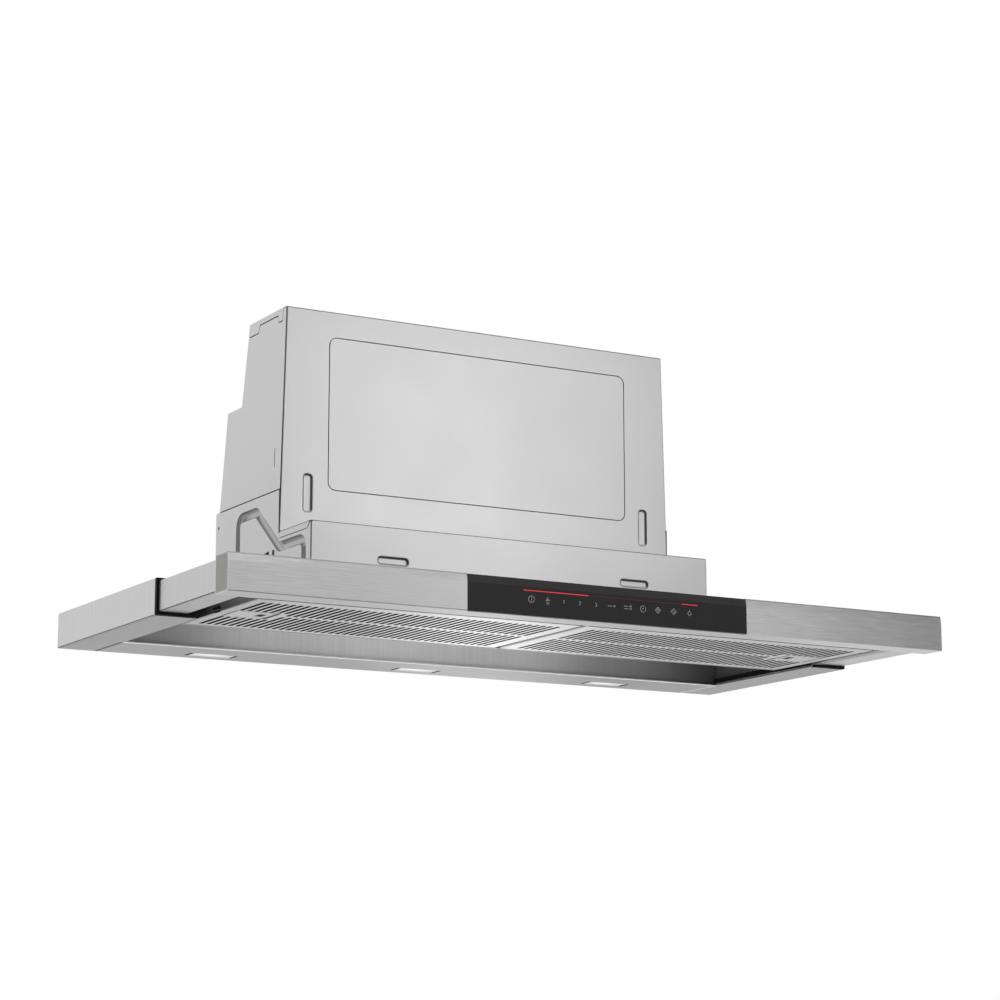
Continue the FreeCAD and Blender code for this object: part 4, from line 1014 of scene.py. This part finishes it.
# %% Draw the front panel
panel_corners = inset([(-half_low, panel_low), (half_low, panel_low), (half_high, panel_high),
                       (-half_high, panel_high)], seam)
panel_presses = [groove_press(groove_half, groove_low, groove_high, groove_radius)]
for side in (-1.0, 1.0):
    panel_presses.append(slot_press(side * tall_slot_middle, tall_slot_half, tall_slot_low, tall_slot_high,
                                    tall_slot_radius))
shape = bmesh.new()
add_sheet(shape, panel_corners, panel_presses, [], front_plane(panel_front), (0.0, -1.0, 0.0), wide_roll)
hang_sheet(shape, "front_panel", front_finishes)

# %% [markdown]
# ## Shelf in front of the housing
#
# The housing is deeper at its foot than at its top, so a shelf covers the step. It is one folded sheet: the
# front with two flat slots, the top, and a flange down each side whose nose slants up to the front.

# %% Shelf cover
shelf_box_low, shelf_box_high = measured("shelf_cover")
shelf_front = back_y - shelf_box_low[1]
shelf_high = shelf_box_high[2]
shelf_low = shelf_box_low[2]
shelf_radius = 3.0
shelf_steps = 3
shelf_lap = 1.0
shelf_bend = 0.8
flat_slot_middle = 159.0
flat_slot_half = 19.5
flat_slot_low = 79.5
flat_slot_high = 89.0
flat_slot_radius = 4.0


print("shelf is", shelf_front - panel_front, "mm deep")

# %% Sheets that face the side
def foot_half(z):
    """Half width of the housing's foot, which is the same at each height."""
    return half_low


def side_plane(side, half_at):
    """Place on a sheet that faces left or right; half_at gives the half width at a height."""
    return lambda d, z, depth: (side * (half_at(z) - depth), back_y - d, z)


print("the foot is", foot_half(shelf_low), "mm wide from its middle")

# %% Draw the shelf cover
shelf_presses = []
for side in (-1.0, 1.0):
    shelf_presses.append(slot_press(side * flat_slot_middle, flat_slot_half, flat_slot_low, flat_slot_high,
                                    flat_slot_radius))
shelf_corners = [(-half_low, shelf_low), (half_low, shelf_low)]
for side in (1.0, -1.0):
    for step in range(shelf_steps + 1):
        turn = math.radians(90.0 * (step if side > 0.0 else shelf_steps - step) / shelf_steps)
        shelf_corners.append((side * (half_low - shelf_radius * (1.0 - math.cos(turn))),
                              shelf_high - shelf_radius * (1.0 - math.sin(turn))))
top_front = -shelf_front + shelf_bend
top_back = -panel_front + shelf_lap
top_corners = [(-half_low, top_front), (half_low, top_front), (half_low, top_back), (-half_low, top_back)]
flange = [(194.5, 121.8), (194.5, 115.0), (265.8, 115.0), (268.6, 116.6), (272.4, 121.0), (274.8, 121.8)]
shape = bmesh.new()
add_sheet(shape, shelf_corners, shelf_presses, [], front_plane(shelf_front), (0.0, -1.0, 0.0), wide_roll)
add_sheet(shape, top_corners, [], [], lambda x, d, depth: (x, back_y + d, shelf_high - depth), up)
for side in (-1.0, 1.0):
    add_sheet(shape, flange, [], [], side_plane(side, foot_half), (side, 0.0, 0.0), flat=flange_face)
hang_sheet(shape, "shelf_cover", front_finishes)

# %% [markdown]
# ## Lower sides
#
# A round bead runs over each lower side in one bent line. Its rings follow that line at smaller and smaller
# distances, and their depths follow a quarter circle, so the bead is a smooth half-round channel. Beside it
# are the hook's slot, a wedge-shaped opening, a tool hole and two holes for the cabinet's screws.

# %% Lower sides
bead_corners = [(80.0, 52.0), (80.0, 154.6), (131.0, 154.6), (193.5, 104.8), (259.0, 104.8), (259.0, 52.0)]
bead_bend = 13.0
bead_half = 5.8
bead_depth = 6.0
bead_rim = 0.25
bead_lip = ((bead_half + 1.4, 0.0), (bead_half + 0.4, 0.0), (bead_half, 0.12))
bead_sweep = 84.0
bead_steps = 7
lower_outline = [(276.0, 40.3), (276.0, 121.0), (273.3, 120.2), (269.5, 115.9), (266.2, 114.4),
                 (194.4, 114.4), (194.4, 121.3), (191.9, 121.3), (191.9, 170.9), (15.3, 170.9), (15.3, 40.3)]
hook_low = (175.6, 86.0)
hook_high = (182.0, 103.6)
hook_radius = 1.0
hook_profile = ((0.8, 0.0), (0.0, 0.0), (-0.1, 1.2))
hook_wedge = [Vector(point) for point in ((167.5, 94.0), (167.0, 103.8), (146.0, 101.6))]
tool_hole = (23.6, 153.0, 2.0)
screw_holes = ((110.0, 62.0, 2.6), (230.0, 62.0, 2.6))


print("bead is", 2.0 * bead_half, "mm wide")

# %% Bead and holes
def bead_profile():
    """Half-round channel from its rim to its middle, as (half width, depth) steps."""
    steps = list(bead_lip)
    for step in range(1, bead_steps):
        turn = math.radians(bead_sweep * step / bead_steps)
        steps.append((bead_half * math.cos(turn), bead_rim + (bead_depth - bead_rim) * math.sin(turn)))
    return steps


def round_hole(d, z, radius, steps=14):
    """Closed outline of a round hole."""
    turns = [2.0 * math.pi * step / steps for step in range(steps)]
    return [Vector((d + radius * math.cos(turn), z + radius * math.sin(turn))) for turn in turns]


print("bead has", len(bead_profile()), "rings")

# %% Draw the lower sides
bead_line = rounded_line(bead_corners, bead_bend)
bead = (lambda half: band(bead_line, half)), bead_profile(), (press_shade_face, press_shade_face, press_shade_face)
hook_slot = ((lambda grow: rounded_box(hook_low, hook_high, hook_radius, grow)), hook_profile,
             (press_shade_face, press_shade_face, edge_shade_face))
side_openings = [hook_wedge] + [round_hole(*hole) for hole in (tool_hole, *screw_holes)]
for side, side_name in zip((-1.0, 1.0), pairs):
    shape = bmesh.new()
    add_sheet(shape, lower_outline, [bead, hook_slot], side_openings, side_plane(side, foot_half),
              (side, 0.0, 0.0))
    hang_sheet(shape, side_name + "lower_side", side_finishes)

# %% [markdown]
# ## Upper sides
#
# The upper sides lean in towards the top. Their top edge is cut out for the tabs of the top cover, and a
# short slit near the front edge frees a tab that catches the front panel.

# %% Upper sides
upper_outline = [(22.6, 172.5), (191.3, 172.5), (191.3, 385.4), (183.6, 385.4), (182.0, 370.8),
                 (172.0, 370.8), (169.0, 379.4), (119.2, 379.4), (116.0, 370.8), (87.6, 370.8),
                 (75.4, 290.4), (35.4, 290.4)]
catch_slit = [Vector(point) for point in ((173.2, 200.0), (174.8, 200.0), (174.8, 222.6), (173.2, 222.6))]


def lean(z):
    """Half width of the housing at a height."""
    return half_low + (half_high - half_low) * (z - panel_low) / (panel_high - panel_low)


print("the housing is", round(2.0 * lean(panel_high), 1), "mm wide at its top")

# %% Draw the upper sides
for side, side_name in zip((-1.0, 1.0), pairs):
    shape = bmesh.new()
    add_sheet(shape, upper_outline, [], [catch_slit], side_plane(side, lean), (side, 0.0, 0.0))
    hang_sheet(shape, side_name + "upper_side", side_finishes)

# %% [markdown]
# ## Seals
#
# A lamp lens is pressed into its opening between two rubber ends, and a rubber lip closes the gap between
# the filters and the front bar. A thin dark rubber bar along the lower edges of the pan and of the visor's
# sides stands in for the shadow line where each side meets the underside. They are small, but their dark
# lines are what makes the underside read as separate parts. Each is a bar with rounded edges.

# %% Helpers for rubber bars
rubber = moulded_plastic("rubber", tinted(0.03), tinted(0.045), (0.7, 0.85), gloss=0.05)


def add_bar(shape, low, high, edge):
    """Bar with rounded edges between two corners, each given as x, distance from the back, and height."""
    corner_low = Vector((low[0], back_y - high[1], low[2]))
    corner_high = Vector((high[0], back_y - low[1], high[2]))
    made = bmesh.ops.create_cube(shape, size=1.0)
    for vert in made["verts"]:
        for axis in range(3):
            middle = (corner_low[axis] + corner_high[axis]) / 2.0
            vert.co[axis] = (middle + vert.co[axis] * (corner_high[axis] - corner_low[axis])) * mm
    edges = list({side for vert in made["verts"] for side in vert.link_edges})
    bmesh.ops.bevel(shape, geom=edges, offset=edge * mm, segments=2, profile=0.5, affect="EDGES")


def fit_rubber(shape, name, body):
    """Turn drawn bars into a rubber piece that rides on a body."""
    piece = new_piece(shape, name, [rubber])
    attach(piece, body)
    print(name, len(piece.data.polygons), "faces")


def edge_shadow_bars(name, part, body, sunk, proud, end_gap, low, high, edge):
    """Dark rubber bar along the lower outer edge of a part at the left and at the right, standing in for a
    shadow line.
    """
    part_low, part_high = measured("right_" + part)
    shape = bmesh.new()
    for side in (-1.0, 1.0):
        faces = sorted((side * (part_high[0] - sunk), side * (part_high[0] + proud)))
        add_bar(shape, (faces[0], back_y - part_high[1] + end_gap, part_low[2] + low),
                (faces[1], back_y - part_low[1] - end_gap, part_low[2] + high), edge)
    fit_rubber(shape, name, body)


print("rubber is mixed")

# %% Rubber seals
lens_rim = 3.0
lens_play = 0.2
seal_gap = 0.1
seal_top = 0.95
wide_seal = 4.8
wide_bottom = 0.05
wide_edge = 0.15
thin_seal = 0.9
thin_bottom = 0.1
thin_edge = 0.25
lip_depth = 5.0
lip_gap = 0.4
lip_bottom = 0.3
lip_top = 3.5
lip_edge = 0.5

shape = bmesh.new()
for name in ("left_lamp_lens", "center_lamp_lens", "right_lamp_lens"):
    lens_low, lens_high = measured(name)
    left = lens_low[0] + lens_rim
    right = lens_high[0] - lens_rim
    rear = back_y - lens_high[1] + lens_rim + lens_play
    front = back_y - lens_low[1] - lens_rim - lens_play
    add_bar(shape, (left + seal_gap, rear, wide_bottom), (left + wide_seal, front, seal_top), wide_edge)
    add_bar(shape, (right - thin_seal, rear, thin_bottom), (right - seal_gap, front, seal_top), thin_edge)
fit_rubber(shape, "lamp_seals", "chassis")

filter_low, filter_high = measured("right_filter_frame")
filter_front = back_y - filter_low[1]
shape = bmesh.new()
add_bar(shape, (-filter_high[0], filter_front - lip_depth, filter_low[2] + lip_bottom),
        (filter_high[0], filter_front - lip_gap, filter_low[2] + lip_top), lip_edge)
fit_rubber(shape, "filter_front_seal", "visor")
# dark bars along the lower edges stand in for shadow lines
edge_shadow_bars("pan_edge_seals", "side_panel", "chassis", sunk=0.4, proud=0.2, end_gap=2.0, low=0.25, high=1.15,
           edge=0.2)
edge_shadow_bars("visor_edge_seals", "visor_side", "visor", sunk=0.3, proud=0.15, end_gap=1.0, low=0.1, high=1.0,
           edge=0.15)

# %% [markdown]
# ## Marks on the touch glass
#
# The marks are printed light grey, with a red light bar above them that shows the chosen fan step. Each mark
# is drawn as strokes, the way a pen would draw it, and the strokes are given the thickness of a print. Plain
# dashes stand where a mark would need words.

# %% Pen strokes
glass_face = measured("control_glass")[0][1]
print_gap = 0.01
print_height = 0.12
sharp_corner = 0.8


def arc(centre, radius, start, end, steps=20):
    """Points on an arc; angles in degrees."""
    points = []
    for step in range(steps + 1):
        angle = math.radians(start + (end - start) * step / steps)
        points.append((centre[0] + radius * math.cos(angle), centre[1] + radius * math.sin(angle)))
    return points


def draw(shape, line, width, closed=False):
    """Flat stroke of one width along points on the glass."""
    line = [Vector(point) for point in line]
    count = len(line)
    edges = []
    for index, point in enumerate(line):
        before = line[index - 1] if index or closed else point
        after = line[(index + 1) % count] if index < count - 1 or closed else point
        into = (point - before).normalized() if (point - before).length else (after - point).normalized()
        on = (after - point).normalized() if (after - point).length else into
        across = Vector((-into.y, into.x)) + Vector((-on.y, on.x))
        reach = across * (width / max(across.length_squared, sharp_corner))
        edges.append([shape.verts.new(Vector((spot.x, glass_face - print_gap, spot.y)) * mm)
                      for spot in (point - reach, point + reach)])
    for index in range(count if closed else count - 1):
        first = edges[index]
        second = edges[(index + 1) % count]
        shape.faces.new((first[0], second[0], second[1], first[1]))


def finish_print(shape, name, finish):
    """Turn strokes into a thin printed piece on the visor."""
    piece = new_piece(shape, name, [finish])
    thicken(piece, "film", print_height, 1.0)
    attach(piece, "visor")
    print(name, len(piece.data.polygons), "faces")


print("the glass lies", -glass_face, "mm before the middle")

# %% Shapes of the marks
stroke = False
loop = True


def power_mark(x, z):
    """Ring with a bar in it."""
    return [(loop, arc((x, z), 3.6, 0.0, 360.0)[:-1]), (stroke, [(x, z - 2.4), (x, z + 2.4)])]


def airflow_mark(x, z):
    """Arrow that stands on a bowl."""
    return [(stroke, [(x, z + 4.0), (x, z - 0.6)]),
            (loop, [(x - 2.4, z), (x, z + 2.0), (x + 2.4, z), (x - 2.4, z)]),
            (stroke, [(x - 1.8, z - 1.8), (x + 1.8, z - 1.8)]),
            (stroke, arc((x, z - 2.4), 1.6, 180.0, 360.0))]


def number_mark(x, z, number):
    """One of the numbers 1, 2 and 3."""
    if number == 1:
        return [(stroke, [(x - 0.7, z + 1.1), (x + 0.15, z + 1.8), (x + 0.15, z - 1.8)])]
    if number == 2:
        return [(stroke, arc((x, z + 0.85), 0.95, 160.0, -40.0) + [(x - 0.95, z - 1.7), (x + 1.1, z - 1.7)])]
    return [(stroke, arc((x, z + 0.9), 0.85, 150.0, -80.0)), (stroke, arc((x, z - 0.9), 0.95, 80.0, -150.0))]


print("the number 2 has", len(number_mark(0.0, 0.0, 2)[0][1]), "points")

# %% More marks
def dash_mark(x, z, rows):
    """Rows of a dash and a small gate."""
    lines = []
    for row in range(rows):
        level = z + 1.4 * (rows - 1) - 2.8 * row
        lines.append((stroke, [(x - 4.6, level), (x + 1.4, level)]))
        lines.append((stroke, [(x + 3.2, level - 0.9), (x + 3.2, level + 0.9), (x + 4.6, level + 0.9),
                               (x + 4.6, level - 0.9)]))
    return lines


def clock_mark(x, z):
    """Open ring with two hands."""
    return [(stroke, arc((x, z), 3.4, 60.0, 400.0)), (stroke, [(x, z), (x + 1.2, z + 1.6)]),
            (stroke, [(x, z), (x - 1.4, z)])]


def diamond_mark(x, z, strokes, half=3.4):
    """Diamond with slanting strokes across it."""
    lines = [(loop, [(x - half, z), (x, z + half), (x + half, z), (x, z - half)])]
    for step in range(1, strokes + 1):
        share = step / (strokes + 1.0)
        start = (x - half + half * share, z + half * share)
        lines.append((stroke, [start, (start[0] + half, start[1] - half)]))
    return lines


def lamp_mark(x, z):
    """Bulb with its socket and three rays."""
    return [(stroke, arc((x, z), 1.9, -60.0, 240.0)),
            (stroke, [(x - 0.9, z - 1.7), (x - 0.9, z - 2.9), (x + 0.9, z - 2.9), (x + 0.9, z - 1.7)]),
            (stroke, [(x, z + 2.9), (x, z + 3.8)]),
            (stroke, [(x - 2.6, z - 1.0), (x - 3.3, z - 1.4)]),
            (stroke, [(x + 2.6, z - 1.0), (x + 3.3, z - 1.4)])]


print("a lamp mark has", len(lamp_mark(0.0, 0.0)), "strokes")

# %% Print the marks
pen = 0.75
mark_height = 18.2
marks = (power_mark(-99.0, mark_height) + airflow_mark(-79.0, mark_height)
         + number_mark(-59.0, mark_height, 1) + number_mark(-39.0, mark_height, 2)
         + number_mark(-19.0, mark_height, 3) + dash_mark(0.4, mark_height, 1)
         + dash_mark(21.0, mark_height, 2) + clock_mark(41.0, mark_height)
         + diamond_mark(60.0, mark_height, 2) + diamond_mark(80.5, mark_height, 1)
         + lamp_mark(101.0, mark_height))
print_white = moulded_plastic("print_white", tinted(0.46), tinted(0.54))
shape = bmesh.new()
for closed, line in marks:
    draw(shape, line, pen * 0.5, closed)
finish_print(shape, "glass_marks", print_white)

# %% [markdown]
# ## Light bars
#
# Behind the lacquer lies a row of red lights. The lit ones are bright bars, and between them the light that
# leaks along the row leaves a thin dim line. Both glow by themselves, since no lamp in the room makes them.

# %% Light bars
bar_height = 27.3
lit_left = (-108.7, -28.2)
lit_right = (91.1, 111.6)
lit_width = 0.85
dim_width = 0.4


def light_bar(name, dark, bright, strength):
    """Red light that shines through the lacquer."""
    finish, tree, shader = start_finish(name)
    cloud = surface_noise(tree, even(60.0), detail=2.0)
    for socket in ("Base Color", "Emission Color"):
        tree.links.new(tone_between(tree, cloud, dark, bright), shader.inputs[socket])
    shader.inputs["Emission Strength"].default_value = strength
    return finish


red_light = light_bar("red_light", (0.62, 0.02, 0.025), (0.7, 0.03, 0.035), strength=0.7)
red_glow = light_bar("red_glow", (0.09, 0.01, 0.012), (0.12, 0.014, 0.016), strength=0.4)
shape = bmesh.new()
for start, end in (lit_left, lit_right):
    draw(shape, [(start, bar_height), (end, bar_height)], lit_width)
finish_print(shape, "light_bars", red_light)
shape = bmesh.new()
draw(shape, [(lit_left[1], bar_height), (lit_right[0], bar_height)], dim_width)
finish_print(shape, "dim_bar", red_glow)
